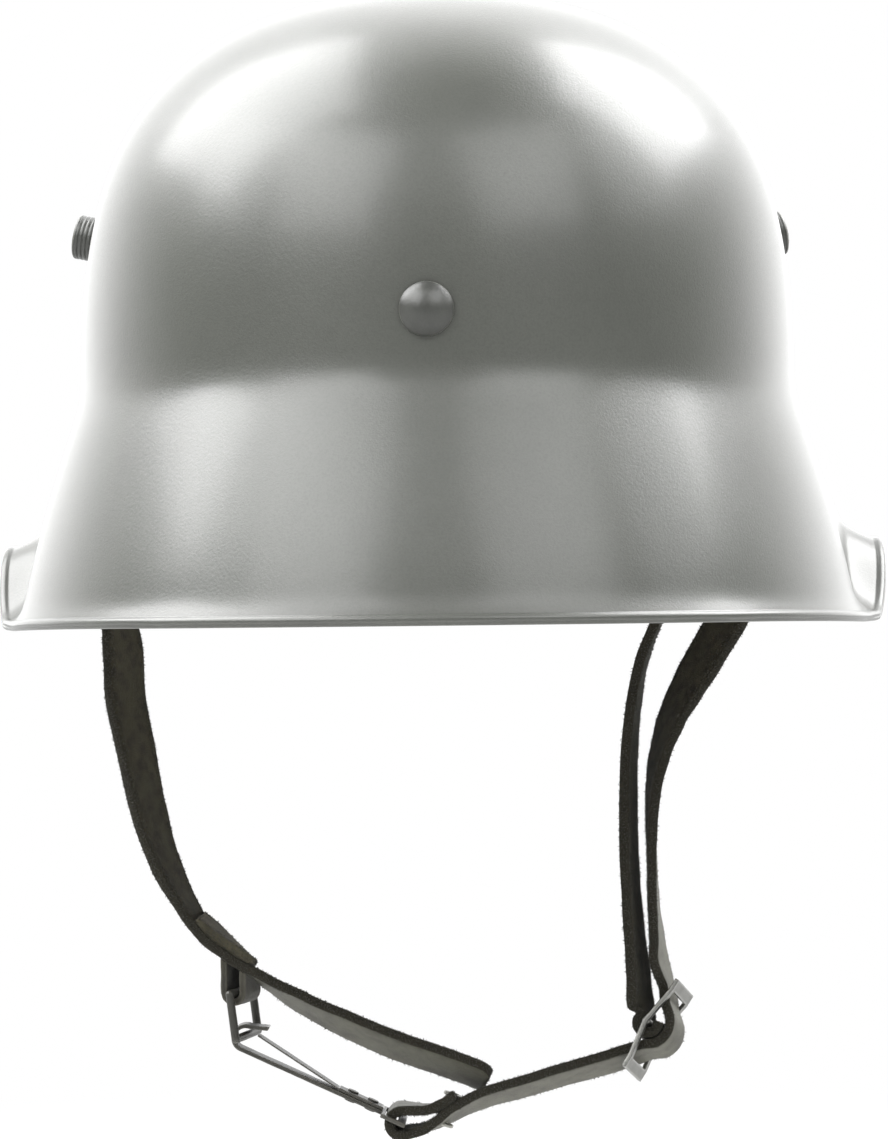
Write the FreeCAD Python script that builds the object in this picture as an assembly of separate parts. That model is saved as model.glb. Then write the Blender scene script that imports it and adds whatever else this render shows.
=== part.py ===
# Pressed steel combat helmet with a rolled rim, two vent lugs, a riveted liner
# and a leather chin strap with a slide buckle and a sprung hook clip.
# Millimetres. Front is -Y, the wearer's left is +X, up is +Z.
# The origin is the head seat: the liner band's centre, level with its rivets.

import FreeCAD
import Part
import math
import os
from FreeCAD import Vector

os.makedirs("parts", exist_ok=True)

# Steel shell, with heights measured up from the rear rim
shell_half_width = 102.2
shell_half_length = 120.0
shell_height = 180.0
crease_height = 65.6
seat_height = 83.0
steel_thickness = 1.2
dome_plan_power = 2.15
dome_rise_power = 2.42
dome_drop_power = 2.95
crease_softness = 2.2
skirt_bulge_power = 1.25

# Rim outline seen from above, and how it rises from the ears to the visor
temple_half_width = 128.0
neck_half_width = 121.5
visor_reach = 152.0
neck_reach = 147.0
visor_plan_power = 2.5
neck_plan_power = 2.2
visor_edge_height = 42.0
temple_edge_height = 20.5
ear_drop = 0.8
ear_turn = 95.0
ear_fade = 50.0
step_start = 77.0
step_end = 93.0
wing_start = 80.0
wing_end = 104.0

# Outward curl just above the rolled edge
neck_curl = 1.5
visor_curl = 3.0
temple_curl = 7.0
temple_curl_turn = 82.0
temple_curl_spread = 13.0
visor_curl_turn = 60.0
visor_curl_fade = 50.0
curl_height = 3.0
curl_softness = 1.3
rim_bead_radius = 1.5

# Lofting of the shell
round_steps = 72
dome_steps = 17
skirt_steps = 14
crown_share = 0.035
dome_crowding = 1.475
skirt_crowding = 1.7
bead_turns = (-24.0, 20.0, 60.0, 90.0, 120.0, 160.0, 204.0)
probe_share = 0.001
probe_turn = 1.0
search_rounds = 40

# Vent lugs
lug_height = 113.5
left_lug_turn = 12.5
right_lug_turn = 18.0
lug_radius = 6.5
left_lug_reach = 9.5
right_lug_reach = 6.0
lug_shank_radius = 4.8
lug_vent_radius = 2.2
lug_peen_radius = 6.2
lug_peen_height = 0.8
lug_edge_round = 0.7
lug_washer_radius = 8.5
lug_washer_thickness = 1.0
dome_bend_radius = 72.0

# Liner rivets, set through shell, spacer and band, with prongs bent flat
rivet_front_turn = 58.0
rivet_head_radius = 7.25
rivet_head_rise = 4.2
rivet_head_edge = 1.0
rivet_shank_radius = 2.5
rivet_washer_radius = 6.0
prong_length = 9.0
prong_width = 4.0
prong_thickness = 0.7

# Liner band
band_gap = 2.0
band_thickness = 1.2
band_below = 25.0
band_above = 13.0

# Leather liner pads, each with two fingers, and the cushions behind them
pad_thickness = 1.8
pad_rise = 85.0
pad_half_turn = 55.0
pad_split_lift = 26.0
pad_tip_lift = 63.0
finger_gap_turn = 5.0
finger_shares = (1.0, 0.96, 0.88, 0.74, 0.46)
pad_dome_steps = 9
finger_tip_turn = 3.0
pad_turns = (0.0, 120.0, 240.0)
pad_rivet_turns = (-45.0, -15.0, 15.0, 45.0)
pad_rivet_rise = 5.0
pad_rivet_radius = 1.5
pad_rivet_head_radius = 2.8
pad_rivet_head_height = 0.6
seat_gap = 0.3
cushion_thickness = 11.0
cushion_half_turn = 40.0
cushion_low_lift = 26.5
cushion_high_lift = 54.0
cushion_width_shares = (0.86, 0.90, 0.95, 1.0, 0.95, 0.88)
cushion_crown_shares = (0.30, 0.72, 0.96, 1.0, 0.80, 0.32)
cushion_top_shares = (0.35, 0.9, 1.0, 0.9, 0.35)
crown_cord_radius = 1.1
crown_cord_lift = 60.5
crown_cord_points = 24
crown_cord_bend_share = 0.45

# D rings and their tabs
dring_radius = 14.0
dring_wire_radius = 1.3
dring_level = 40.0
tab_width = 14.0
tab_thickness = 1.0
tab_overlap = 15.0
running_gap = 0.05
tab_rivet_spacing = 8.0
tab_rivet_inset = 7.0
tab_rivet_radius = 1.2
tab_rivet_head_radius = 2.3
tab_rivet_head_height = 0.5

# Chin strap leather
strap_width = 16.0
strap_thickness = 2.8
strap_drop = 172.0
strap_reach_share = 0.968
fold_slack = 0.6
fold_steps = 6
patch_thickness = 2.0
patch_width = 15.0

# Hook ring and the leather loop that holds it
ring_wire_radius = 1.2
ring_width = 20.0
ring_yaw = 15.0
ring_loop_width = 14.0
ring_loop_thickness = 2.0
ring_loop_reach = 12.0

# Sprung hook clip
clip_thickness = 1.2
clip_width = 8.0
clip_nose_radius = 2.9
clip_lip_length = 5.0
clip_lip_rise = 1.7
clip_eye_width = 21.0
clip_eye_length = 6.5
clip_bar_half = 1.2
clip_backing_length = 14.0
clip_backing_thickness = 1.0
clip_backing_width = 7.0
gate_thickness = 0.45
gate_width = 6.5
gate_tip_gap = 2.9
gate_tip_height = 2.1
clip_rivet_radius = 0.9
clip_rivet_head_radius = 1.6
clip_rivet_head_height = 0.6
clip_rivet_shares = (0.3, 0.75)
clip_fold_radius = 3.6
clip_fold_start = 75.0
clip_fold_end = -75.0

# Three-bar slide buckle
buckle_length = 29.5
buckle_rail_width = 2.4
buckle_side_gap = 0.8
buckle_sheet = 1.3
buckle_bow = 1.8
buckle_centre_bar_radius = 1.1
buckle_end_bar_width = 3.6
buckle_fold_radius = 3.2
buckle_twist = 20.0
buckle_pitch = 8.0
buckle_fold_start = 20.0
buckle_fold_end = -210.0
buckle_pass_turns = (-68.0, -34.0, 0.0, 34.0)

# Rivet that closes the leather fold at the clip
stud_radius = 1.2
stud_head_radius = 3.0
stud_head_height = 0.9

# Where the straps run: across as a share of the D ring's place, down as a
# share of the strap's drop, and the twist of the leather in degrees
left_return_shares = ((0.969, 0.115, 22.0), (0.984, 0.078, 15.0), (0.990, 0.035, 8.0))
left_leg_shares = (
    (1.061, 0.035, -6.0), (1.026, 0.080, -14.0), (0.993, 0.134, -25.0), (0.978, 0.190, -33.0),
    (0.972, 0.270, -33.0), (0.943, 0.355, -31.0), (0.906, 0.459, -27.0), (0.856, 0.550, -20.0),
    (0.787, 0.626, -10.0), (0.735, 0.671, -4.0), (0.658, 0.711, 3.0), (0.560, 0.748, 11.0),
    (0.437, 0.789, 20.0), (0.296, 0.828, 26.0), (0.149, 0.863, 28.0), (0.014, 0.889, 28.0),
    (-0.090, 0.911, 28.0), (-0.128, 0.921, 28.0))
left_patch_shares = (
    (0.752, 0.642, -6.0), (0.721, 0.663, -4.0), (0.687, 0.682, -1.0), (0.645, 0.700, 3.0),
    (0.600, 0.717, 7.0), (0.556, 0.732, 11.0))
clip_return_shares = ((-0.036, 0.9505, -14.0), (0.010, 0.964, -11.0), (0.066, 0.970, -4.0))
lower_run_shares = (
    (0.074, 1.003, 3.0), (0.030, 0.993, 9.0), (-0.029, 0.973, 15.0), (-0.124, 0.950, 19.0),
    (-0.232, 0.934, 20.0), (-0.370, 0.912, 21.0), (-0.492, 0.894, 22.0), (-0.570, 0.8805, 22.0))
buckle_exit_shares = ((0.53, 0.07), (0.735, -0.094))
outer_leg_shares = (
    (-0.655, 0.720, 12.0), (-0.650, 0.680, 8.0), (-0.642, 0.634, 4.0), (-0.638, 0.558, 2.0),
    (-0.638, 0.483, -2.0), (-0.645, 0.432, -6.0), (-0.664, 0.378, -12.0), (-0.704, 0.314, -20.0),
    (-0.744, 0.272, -27.0), (-0.799, 0.220, -33.0), (-0.870, 0.156, -34.0), (-0.942, 0.092, -24.0),
    (-1.006, 0.046, -12.0))
right_crest_shares = (
    (-1.058, 0.018, -4.0), (-1.079, -0.006, 0.0), (-1.073, -0.027, 0.0), (-1.034, -0.039, 0.0),
    (-0.985, -0.037, 0.0), (-0.930, -0.021, 0.0))
inner_leg_shares = (
    (-0.868, 0.009, 0.0), (-0.775, 0.060, -1.0), (-0.702, 0.109, -2.0), (-0.652, 0.162, -4.0),
    (-0.612, 0.221, -6.0), (-0.588, 0.289, -8.0), (-0.573, 0.366, -10.0), (-0.567, 0.478, -11.0),
    (-0.570, 0.580, -12.0), (-0.581, 0.673, -14.0), (-0.592, 0.745, -18.0), (-0.597, 0.790, -21.0))
ring_top_shares = (0.627, 0.767)
ring_bottom_shares = (0.6105, 0.8420)
clip_nose_shares = (0.612, 0.8455)
clip_bar_shares = (0.1364, 0.9884)
buckle_centre_shares = (-0.634, 0.835)
buckle_lean = 33.0
stud_share = 0.45

through = steel_thickness * 5.0
written = []


def save(name, shape):
    """Write one sub-part and print what it holds."""
    written.append(name)
    shape.exportStep("parts/" + name + ".step")
    print(name, len(shape.Solids), round(shape.Volume, 1), shape.isValid())


def smooth_step(share):
    """Ease from 0 to 1."""
    share = min(1.0, max(0.0, share))
    return share * share * (3.0 - 2.0 * share)


def softened(length, softness):
    """A length that is zero below nothing and itself above, with a rounded corner."""
    ratio = length / softness
    return softness * math.log1p(math.exp(ratio)) if ratio < 30.0 else length


def plan_radius(turn, half_width, half_length, power):
    """Distance from the centre of a rounded oval at a turn in degrees from the front."""
    across = abs(math.sin(math.radians(turn))) / half_width
    along = abs(math.cos(math.radians(turn))) / half_length
    return (across ** power + along ** power) ** (-1.0 / power)


def side_turn(turn):
    """The turn from the front to either side, 0 to 180 degrees."""
    turn = abs(turn) % 360.0
    return 360.0 - turn if turn > 180.0 else turn


def rim_radius(turn):
    """Outline of the rim seen from above."""
    side = side_turn(turn)
    wing = smooth_step((side - wing_start) / (wing_end - wing_start))
    half_width = temple_half_width + (neck_half_width - temple_half_width) * wing
    if side < 90.0:
        return plan_radius(side, half_width, visor_reach, visor_plan_power)
    return plan_radius(side, half_width, neck_reach, neck_plan_power)


def rim_height(turn):
    """Height of the rim above the rear rim."""
    side = side_turn(turn)
    visor = visor_edge_height + (temple_edge_height - visor_edge_height) * smooth_step(side / step_start)
    ear = -ear_drop * (1.0 - smooth_step((side - ear_turn) / ear_fade))
    return visor + (ear - visor) * smooth_step((side - step_start) / (step_end - step_start))


def rim_curl(turn):
    """How far the skirt curls outward just above the rolled edge."""
    side = side_turn(turn)
    front = 1.0 - smooth_step((side - visor_curl_turn) / visor_curl_fade)
    temple = math.exp(-((side - temple_curl_turn) / temple_curl_spread) ** 2)
    return neck_curl + (visor_curl - neck_curl) * front + temple_curl * temple


def section_point(turn, travel):
    """Radius and height of the outer skin: travel 0 is the crown, 1 the crease, 2 the rim."""
    edge = rim_height(turn) + 2.0 * rim_bead_radius
    drop = crease_height - edge
    radius = plan_radius(turn, shell_half_width, shell_half_length, dome_plan_power)
    height = crease_height - drop * (travel - 1.0)
    curl = rim_curl(turn)
    spread = rim_radius(turn) - radius - curl
    if travel <= 1.0:
        reach = math.sin(travel * math.pi / 2.0)
        rise = max(0.0, 1.0 - reach ** dome_rise_power) ** (1.0 / dome_drop_power)
        height = crease_height + (shell_height - crease_height) * rise
        radius = radius * reach
    below = softened(crease_height - height, crease_softness) / softened(drop, crease_softness)
    radius = radius + spread * (1.0 - (1.0 - min(1.0, below)) ** skirt_bulge_power)
    near = softened(edge + curl_height - height, curl_softness) / softened(curl_height, curl_softness)
    return radius + curl * near, height


def section_direction(turn, travel):
    """Unit direction of the skin in its upright section, pointing down towards the rim."""
    if travel <= crown_share:
        return Vector(1.0, 0.0, 0.0)
    start = section_point(turn, travel - probe_share)
    end = section_point(turn, travel)
    step = Vector(end[0] - start[0], 0.0, end[1] - start[1])
    return step.normalize()


def place(turn, radius, height):
    """A point at a turn from the front, a radius and a height above the rear rim."""
    angle = math.radians(turn)
    return Vector(radius * math.sin(angle), -radius * math.cos(angle), height - seat_height)


def skin_point(turn, travel, inset):
    """A point of the skin, moved inward by inset."""
    radius, height = section_point(turn, travel)
    along = section_direction(turn, travel)
    return place(turn, radius + inset * along.z, height - inset * along.x)


def bead_point(turn, angle):
    """A point round the rolled edge."""
    radius, height = section_point(turn, 2.0)
    along = section_direction(turn, 2.0)
    outward = Vector(-along.z, 0.0, along.x)
    depth = math.sqrt(rim_bead_radius ** 2 - (steel_thickness / 2.0) ** 2)
    lean = math.degrees(math.asin(depth / rim_bead_radius))
    share = (angle - bead_turns[0]) / (bead_turns[-1] - bead_turns[0])
    turn_on = math.radians(-lean + share * (180.0 + 2.0 * lean))
    centre = along * depth - outward * (steel_thickness / 2.0)
    point = centre + outward * (rim_bead_radius * math.cos(turn_on))
    point = point + along * (rim_bead_radius * math.sin(turn_on))
    return place(turn, radius + point.x, height + point.z)


def closed_wire(points):
    """A smooth closed wire through points."""
    curve = Part.BSplineCurve()
    curve.interpolate(Points=points, PeriodicFlag=True)
    return Part.Wire([curve.toShape()])


def ring_of(function, start=0.0):
    """A closed wire through one point per turn, with its seam at a start turn."""
    return closed_wire([function(start + 360.0 * step / round_steps) for step in range(round_steps)])


def skin_travels():
    """Travels from the crown to the rim, closer together where the skin bends."""
    steps = [1.0 - (1.0 - step / dome_steps) ** dome_crowding for step in range(dome_steps)]
    dome = [crown_share + (1.0 - crown_share) * step for step in steps]
    skirt = [2.0 - (1.0 - step / skirt_steps) ** skirt_crowding for step in range(skirt_steps + 1)]
    return dome + skirt


def make_shell():
    """The pressed shell: outer skin, rolled edge and inner skin closed into one sheet."""
    travels = skin_travels()
    outer = [ring_of(lambda turn, t=travel: skin_point(turn, t, 0.0)) for travel in travels]
    bead = [ring_of(lambda turn, a=angle: bead_point(turn, a)) for angle in bead_turns]
    inner = [ring_of(lambda turn, t=travel: skin_point(turn, t, steel_thickness)) for travel in travels]
    bead[0] = outer[-1]
    bead[-1] = inner[-1]
    faces = []
    for wires in (outer, bead, inner):
        faces.extend(Part.makeLoft(wires, False, False).Faces)
    faces.append(Part.Face(outer[0]))
    faces.append(Part.Face(inner[0]))
    sheet = Part.makeShell(faces)
    sheet.sewShape()
    solid = Part.makeSolid(Part.makeShell(sheet.Faces))
    if solid.Volume < 0.0:
        solid.reverse()
    return solid


def travel_at(turn, height):
    """The travel at which the skin reaches a height."""
    low = crown_share
    high = 2.0
    for _ in range(search_rounds):
        middle = (low + high) / 2.0
        if section_point(turn, middle)[1] > height:
            low = middle
        else:
            high = middle
    return low


def fastener_place(turn, height):
    """Placement whose Z points out of the skin at a turn and height."""
    travel = travel_at(turn, height)
    point = skin_point(turn, travel, 0.0)
    beside = skin_point(turn + probe_turn, travel, 0.0) - skin_point(turn - probe_turn, travel, 0.0)
    down = skin_point(turn, travel + probe_share, 0.0) - skin_point(turn, travel - probe_share, 0.0)
    outward = down.cross(beside)
    if outward.dot(place(turn, 1.0, seat_height)) < 0.0:
        outward = -outward
    return FreeCAD.Placement(point, FreeCAD.Rotation(Vector(0.0, 0.0, 1.0), outward))


def placed(shape, placement):
    """A copy of a shape at a placement."""
    copy = shape.copy()
    copy.Placement = placement.multiply(copy.Placement)
    return copy


def rod(radius, low, high):
    """A round bar along Z."""
    return Part.makeCylinder(radius, high - low, Vector(0.0, 0.0, low))


def box(low, high):
    """A box between two corners."""
    size = high - low
    return Part.makeBox(size.x, size.y, size.z, low)


def low_dome(radius, edge, rise):
    """A round head with a straight edge and a low crown, standing on Z zero."""
    points = [Vector(0.0, 0.0, 0.0), Vector(radius, 0.0, 0.0),
              Vector(radius, 0.0, edge), Vector(0.0, 0.0, rise)]
    crown = rise - edge
    sphere = (radius ** 2 + crown ** 2) / (2.0 * crown)
    half = math.asin(radius / sphere) / 2.0
    middle = Vector(sphere * math.sin(half), 0.0, rise - sphere * (1.0 - math.cos(half)))
    edges = [Part.makeLine(points[0], points[1]), Part.makeLine(points[1], points[2]),
             Part.Arc(points[2], middle, points[3]).toShape(), Part.makeLine(points[3], points[0])]
    return Part.Face(Part.Wire(edges)).revolve(Vector(0.0, 0.0, 0.0), Vector(0.0, 0.0, 1.0), 360.0)


def inside_sag(radius):
    """How far the curved inner skin comes in at the edge of a flat round piece."""
    return radius * radius / (2.0 * dome_bend_radius)


def make_lug(reach):
    """A hollow vent lug: turned body outside, shank through the shell, peened end inside."""
    floor = -steel_thickness - inside_sag(lug_washer_radius) - lug_washer_thickness - running_gap
    body = rod(lug_radius, running_gap, reach)
    top_edges = [edge for edge in body.Edges if abs(edge.BoundBox.ZMin - reach) < running_gap]
    body = body.makeFillet(lug_edge_round, top_edges)
    body = body.fuse(rod(lug_shank_radius, floor, lug_radius))
    body = body.fuse(rod(lug_peen_radius, floor - lug_peen_height, floor))
    return body.cut(rod(lug_vent_radius, floor - lug_peen_height, reach)).removeSplitter()


def make_lug_washer():
    """The washer under a lug's peened end."""
    top = -steel_thickness - inside_sag(lug_washer_radius)
    ring = rod(lug_washer_radius, top - lug_washer_thickness, top)
    return ring.cut(rod(lug_shank_radius + running_gap, top - lug_washer_thickness, top))


def band_outline(inset, lift):
    """The liner band's outline as an oval wire, moved inward by inset."""
    width = shell_half_width - steel_thickness - band_gap - inset
    length = shell_half_length - steel_thickness - band_gap - inset
    height = seat_height + lift
    return ring_of(lambda turn: place(turn, plan_radius(turn, width, length, dome_plan_power), height))


def band_radius(turn, inset):
    """The band's radius at a turn, moved inward by inset."""
    width = shell_half_width - steel_thickness - band_gap - inset
    length = shell_half_length - steel_thickness - band_gap - inset
    return plan_radius(turn, width, length, dome_plan_power)


def make_band():
    """The sprung steel band that the liner is built on."""
    outer = Part.Face(band_outline(0.0, -band_below))
    inner = Part.Face(band_outline(band_thickness, -band_below))
    return outer.cut(inner).extrude(Vector(0.0, 0.0, band_below + band_above))


def rivet_depth(turn, frame):
    """Distance along the rivet's axis from the skin to the band's inner face."""
    start = frame.Base
    axis = frame.Rotation.multVec(Vector(0.0, 0.0, -1.0))
    target = place(turn, band_radius(turn, band_thickness), seat_height)
    radial = place(turn, 1.0, seat_height)
    return (target - start).dot(radial) / axis.dot(radial)


def make_liner_rivet(turn, frame):
    """A split rivet: low domed head outside, two prongs bent flat on the band."""
    depth = rivet_depth(turn, frame)
    sag = inside_sag(prong_length)
    head = low_dome(rivet_head_radius, rivet_head_edge, rivet_head_rise)
    head.translate(Vector(0.0, 0.0, running_gap))
    body = head.fuse(rod(rivet_shank_radius, -depth - sag - prong_thickness, rivet_head_edge))
    low = Vector(-prong_length, -prong_width / 2.0, -depth - sag - prong_thickness)
    high = Vector(prong_length, prong_width / 2.0, -depth - sag)
    return body.fuse(box(low, high)).removeSplitter()


def rivet_frame(turn):
    """Placement of a liner rivet, with the prongs lying level."""
    frame = fastener_place(turn, seat_height)
    outward = frame.Rotation.multVec(Vector(0.0, 0.0, 1.0))
    level = Vector(0.0, 0.0, 1.0).cross(outward)
    rotation = FreeCAD.Rotation(level, outward.cross(level), outward, "ZXY")
    return FreeCAD.Placement(frame.Base, rotation)


def make_rivet_washer(turn, frame):
    """The spacer washer between the shell and the band."""
    lean = rivet_washer_radius * abs(frame.Rotation.multVec(Vector(0.0, 0.0, 1.0)).z)
    low = -rivet_depth(turn, frame) + band_thickness + inside_sag(rivet_washer_radius) + lean
    high = -steel_thickness - inside_sag(rivet_washer_radius)
    ring = rod(rivet_washer_radius, low, high)
    return ring.cut(rod(rivet_shank_radius + 2.0 * running_gap, low, high))


def pad_point(turn, lift, outset):
    """A point of the leather liner at a turn and an upward angle, with outset measured through it."""
    angle = math.radians(lift)
    start = band_radius(turn, band_thickness) - pad_thickness - running_gap
    radius = start * math.cos(angle) + outset / math.cos(angle)
    return place(turn, radius, seat_height - band_below + pad_rise * math.sin(angle))


def make_leather_dome():
    """The whole leather dome that the three pads are cut from."""
    top = pad_tip_lift + finger_tip_turn
    seam = pad_turns[1] / 2.0
    lifts = [top * step / pad_dome_steps for step in range(pad_dome_steps + 1)]
    solids = []
    for outset in (0.0, pad_thickness):
        wires = [ring_of(lambda turn, at=lift: pad_point(turn, at, outset), seam) for lift in lifts]
        solids.append(Part.makeLoft(wires, True, False))
    return solids[1].cut(solids[0])


def plan_point(turn, lift):
    """A point below the leather dome, straight under a turn and an upward angle."""
    point = pad_point(turn, lift, 0.0)
    return Vector(point.x, point.y, -band_below - through)


def petal(outline):
    """An upright prism over an outline of points."""
    face = Part.Face(Part.makePolygon(outline + outline[:1]))
    return face.extrude(Vector(0.0, 0.0, pad_rise + 2.0 * through))


def make_pad(middle, dome):
    """One leather pad: a broad base riveted to the band, and two fingers that taper to their tips."""
    steps = 2 * pad_dome_steps
    turns = [middle + pad_half_turn * (2.0 * step / steps - 1.0) for step in range(steps + 1)]
    base = [plan_point(turn, pad_split_lift) for turn in turns]
    base = base + [place(turn, shell_half_length + through, seat_height) for turn in reversed(turns)]
    base = [Vector(point.x, point.y, -band_below - through) for point in base]
    prism = petal(base)
    count = len(finger_shares) - 1
    half_finger = (pad_half_turn - finger_gap_turn / 2.0) / 2.0
    for side in (-1.0, 1.0):
        centre = middle + side * (finger_gap_turn / 2.0 + half_finger)
        left = [plan_point(centre - half_finger, pad_split_lift / 2.0)]
        right = [plan_point(centre + half_finger, pad_split_lift / 2.0)]
        for step, share in enumerate(finger_shares):
            lift = pad_split_lift + (pad_tip_lift - pad_split_lift) * step / count
            left.append(plan_point(centre - half_finger * share, lift))
            right.append(plan_point(centre + half_finger * share, lift))
        tip_share = finger_shares[-1] / 2.0
        tip_lift = pad_tip_lift + finger_tip_turn / 2.0
        tip = [plan_point(centre + half_finger * side * tip_share, tip_lift) for side in (-1.0, 1.0)]
        prism = prism.fuse(petal(left + tip + right[::-1]))
    return dome.common(prism.removeSplitter()).removeSplitter()


def pad_rivet_place(turn):
    """Placement at the band's outer face with Z pointing out of the band."""
    point = place(turn, band_radius(turn, 0.0), seat_height - band_below + pad_rivet_rise)
    after = place(turn + probe_turn, band_radius(turn + probe_turn, 0.0), seat_height)
    before = place(turn - probe_turn, band_radius(turn - probe_turn, 0.0), seat_height)
    beside = after - before
    outward = beside.cross(Vector(0.0, 0.0, 1.0))
    if outward.dot(place(turn, 1.0, seat_height)) < 0.0:
        outward = -outward
    return FreeCAD.Placement(point, FreeCAD.Rotation(Vector(0.0, 0.0, 1.0), outward))


def make_pad_rivet():
    """A flat tubular rivet through the band and the leather."""
    lift = math.asin((pad_rivet_rise + pad_rivet_head_radius) / pad_rise)
    lean = shell_half_length * (1.0 - math.cos(lift))
    floor = -band_thickness - pad_thickness - lean - inside_sag(pad_rivet_head_radius) - 2.0 * running_gap
    body = rod(pad_rivet_radius - running_gap, floor, running_gap)
    body = body.fuse(rod(pad_rivet_head_radius, running_gap, pad_rivet_head_height))
    return body.fuse(rod(pad_rivet_head_radius, floor - pad_rivet_head_height, floor))


def cushion_wire(middle, lift, width_share, crown_share_here):
    """One section of a cushion: two arcs along the leather and two over the crown."""
    half = cushion_half_turn * width_share
    turns = [middle - half, middle - half / 2.0, middle, middle + half / 2.0, middle + half]
    seat = pad_thickness + 2.0 * seat_gap
    low = [pad_point(turn, lift, seat) for turn in turns]
    high = [pad_point(turn, lift, seat + cushion_thickness * crown_share_here * top_share)
            for turn, top_share in zip(turns, cushion_top_shares)]
    high.reverse()
    edges = [Part.Arc(low[0], low[1], low[2]).toShape(), Part.Arc(low[2], low[3], low[4]).toShape(),
             Part.makeLine(low[4], high[0]), Part.Arc(high[0], high[1], high[2]).toShape(),
             Part.Arc(high[2], high[3], high[4]).toShape(), Part.makeLine(high[4], low[0])]
    return Part.Wire(edges)


def make_cushion(middle):
    """A crowned cushion between a leather pad and the shell."""
    count = len(cushion_width_shares) - 1
    wires = []
    for step in range(count + 1):
        lift = cushion_low_lift + (cushion_high_lift - cushion_low_lift) * step / count
        wires.append(cushion_wire(middle, lift, cushion_width_shares[step], cushion_crown_shares[step]))
    return Part.makeLoft(wires, True, False)


def rounded_ring(points):
    """A closed path of straight runs joined by tangent arcs."""
    count = len(points)
    edges = []
    cuts = []
    for index in range(count):
        before = points[index - 1] - points[index]
        after = points[(index + 1) % count] - points[index]
        reach = crown_cord_bend_share * min(before.Length, after.Length)
        start = points[index] + before.normalize() * reach
        end = points[index] + after.normalize() * reach
        half = (math.pi - before.getAngle(after)) / 2.0
        radius = reach / math.tan(half)
        inward = (before + after).normalize()
        middle = points[index] + inward * (radius / math.cos(half) - radius)
        cuts.append((start, middle, end))
    for index in range(count):
        start, middle, end = cuts[index]
        edges.append(Part.Arc(start, middle, end).toShape())
        edges.append(Part.makeLine(end, cuts[(index + 1) % count][0]))
    return Part.Wire(edges)


def make_crown_cord():
    """The drawstring that gathers the six fingertips."""
    outset = pad_thickness + 2.0 * seat_gap + crown_cord_radius
    points = [pad_point(360.0 * (step + 0.5) / crown_cord_points, crown_cord_lift, outset)
              for step in range(crown_cord_points)]
    path = rounded_ring(points)
    start = path.Edges[0].Vertexes[0].Point
    along = path.Edges[0].tangentAt(path.Edges[0].FirstParameter)
    profile = Part.Wire([Part.makeCircle(crown_cord_radius, start, along)])
    return path.makePipeShell([profile], True, False)


# D rings: a straight bar held in the tab, and a half round wire below it
tab_face_x = band_radius(90.0, 0.0) + running_gap
dring_x = tab_face_x - running_gap - dring_wire_radius
dring_z = dring_level - seat_height
dring_low = dring_z - dring_radius
dring_sag = dring_radius - math.sqrt(dring_radius ** 2 - (strap_width / 2.0) ** 2)


def make_dring():
    """A D ring on the wearer's left."""
    centre = Vector(dring_x, 0.0, dring_z)
    arc = Part.makeTorus(dring_radius, dring_wire_radius, centre, Vector(1.0, 0.0, 0.0), 0.0, 360.0, 180.0)
    arc.rotate(centre, Vector(1.0, 0.0, 0.0), -90.0 if arc.CenterOfMass.y > running_gap else 90.0)
    if arc.CenterOfMass.z > dring_z:
        arc.rotate(centre, Vector(1.0, 0.0, 0.0), 180.0)
    start = centre - Vector(0.0, dring_radius, 0.0)
    bar = Part.makeCylinder(dring_wire_radius, 2.0 * dring_radius, start, Vector(0.0, 1.0, 0.0))
    ring = arc.fuse(bar)
    for side in (-1.0, 1.0):
        ring = ring.fuse(Part.makeSphere(dring_wire_radius, centre + Vector(0.0, side * dring_radius, 0.0)))
    return ring.removeSplitter()


def make_tab():
    """The steel tab that holds a D ring's straight bar under the band."""
    half = tab_width / 2.0
    bore = dring_wire_radius + running_gap
    top = tab_overlap - band_below
    plate = box(Vector(tab_face_x, -half, dring_z), Vector(tab_face_x + tab_thickness, half, top))
    along = Vector(0.0, 1.0, 0.0)
    start = Vector(dring_x, -half, dring_z)
    barrel = Part.makeCylinder(bore + tab_thickness, tab_width, start, along)
    hole = Part.makeCylinder(bore, tab_width, start, along)
    return plate.fuse(barrel).cut(hole).removeSplitter()


def make_tab_rivets():
    """Two small rivets that hold a tab to the band."""
    rivets = []
    height = tab_overlap - band_below - tab_rivet_inset
    band_face = tab_face_x + tab_thickness
    reach = tab_rivet_spacing / 2.0 + tab_rivet_head_radius
    inner_face = band_radius(90.0, band_thickness) - inside_sag(reach)
    for side in (-1.0, 1.0):
        spot = Vector(0.0, side * tab_rivet_spacing / 2.0, height)
        across = Vector(1.0, 0.0, 0.0)
        start = spot + across * inner_face
        end = spot + across * band_face
        shank = Part.makeCylinder(tab_rivet_radius, band_face - inner_face, start, across)
        outer = Part.makeCylinder(tab_rivet_head_radius, tab_rivet_head_height, end, across)
        inner = Part.makeCylinder(tab_rivet_head_radius, tab_rivet_head_height, start, -across)
        rivets.append(shank.fuse(outer).fuse(inner))
    return rivets


def make_tab_head_holes():
    """Holes punched in the leather round the inner heads of both tabs' rivets."""
    holes = []
    start = band_radius(90.0, band_thickness) - through
    across = Vector(1.0, 0.0, 0.0)
    for side in (-1.0, 1.0):
        spot = Vector(start, side * tab_rivet_spacing / 2.0, tab_overlap - band_below - tab_rivet_inset)
        hole = Part.makeCylinder(tab_rivet_head_radius + running_gap, 2.0 * through, spot, across)
        holes.extend((hole, mirrored(hole)))
    return holes


def mirrored(shape):
    """The same shape on the wearer's other side."""
    return shape.mirror(Vector(0.0, 0.0, 0.0), Vector(1.0, 0.0, 0.0))


def strap_point(across_share, down_share):
    """A point of the chin strap's middle line."""
    return Vector(across_share * strap_reach_share * dring_x, 0.0, dring_low - down_share * strap_drop)


def strap_stations(rows):
    """Points and twists from a table of shares."""
    return [(strap_point(row[0], row[1]), row[2]) for row in rows]


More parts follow.
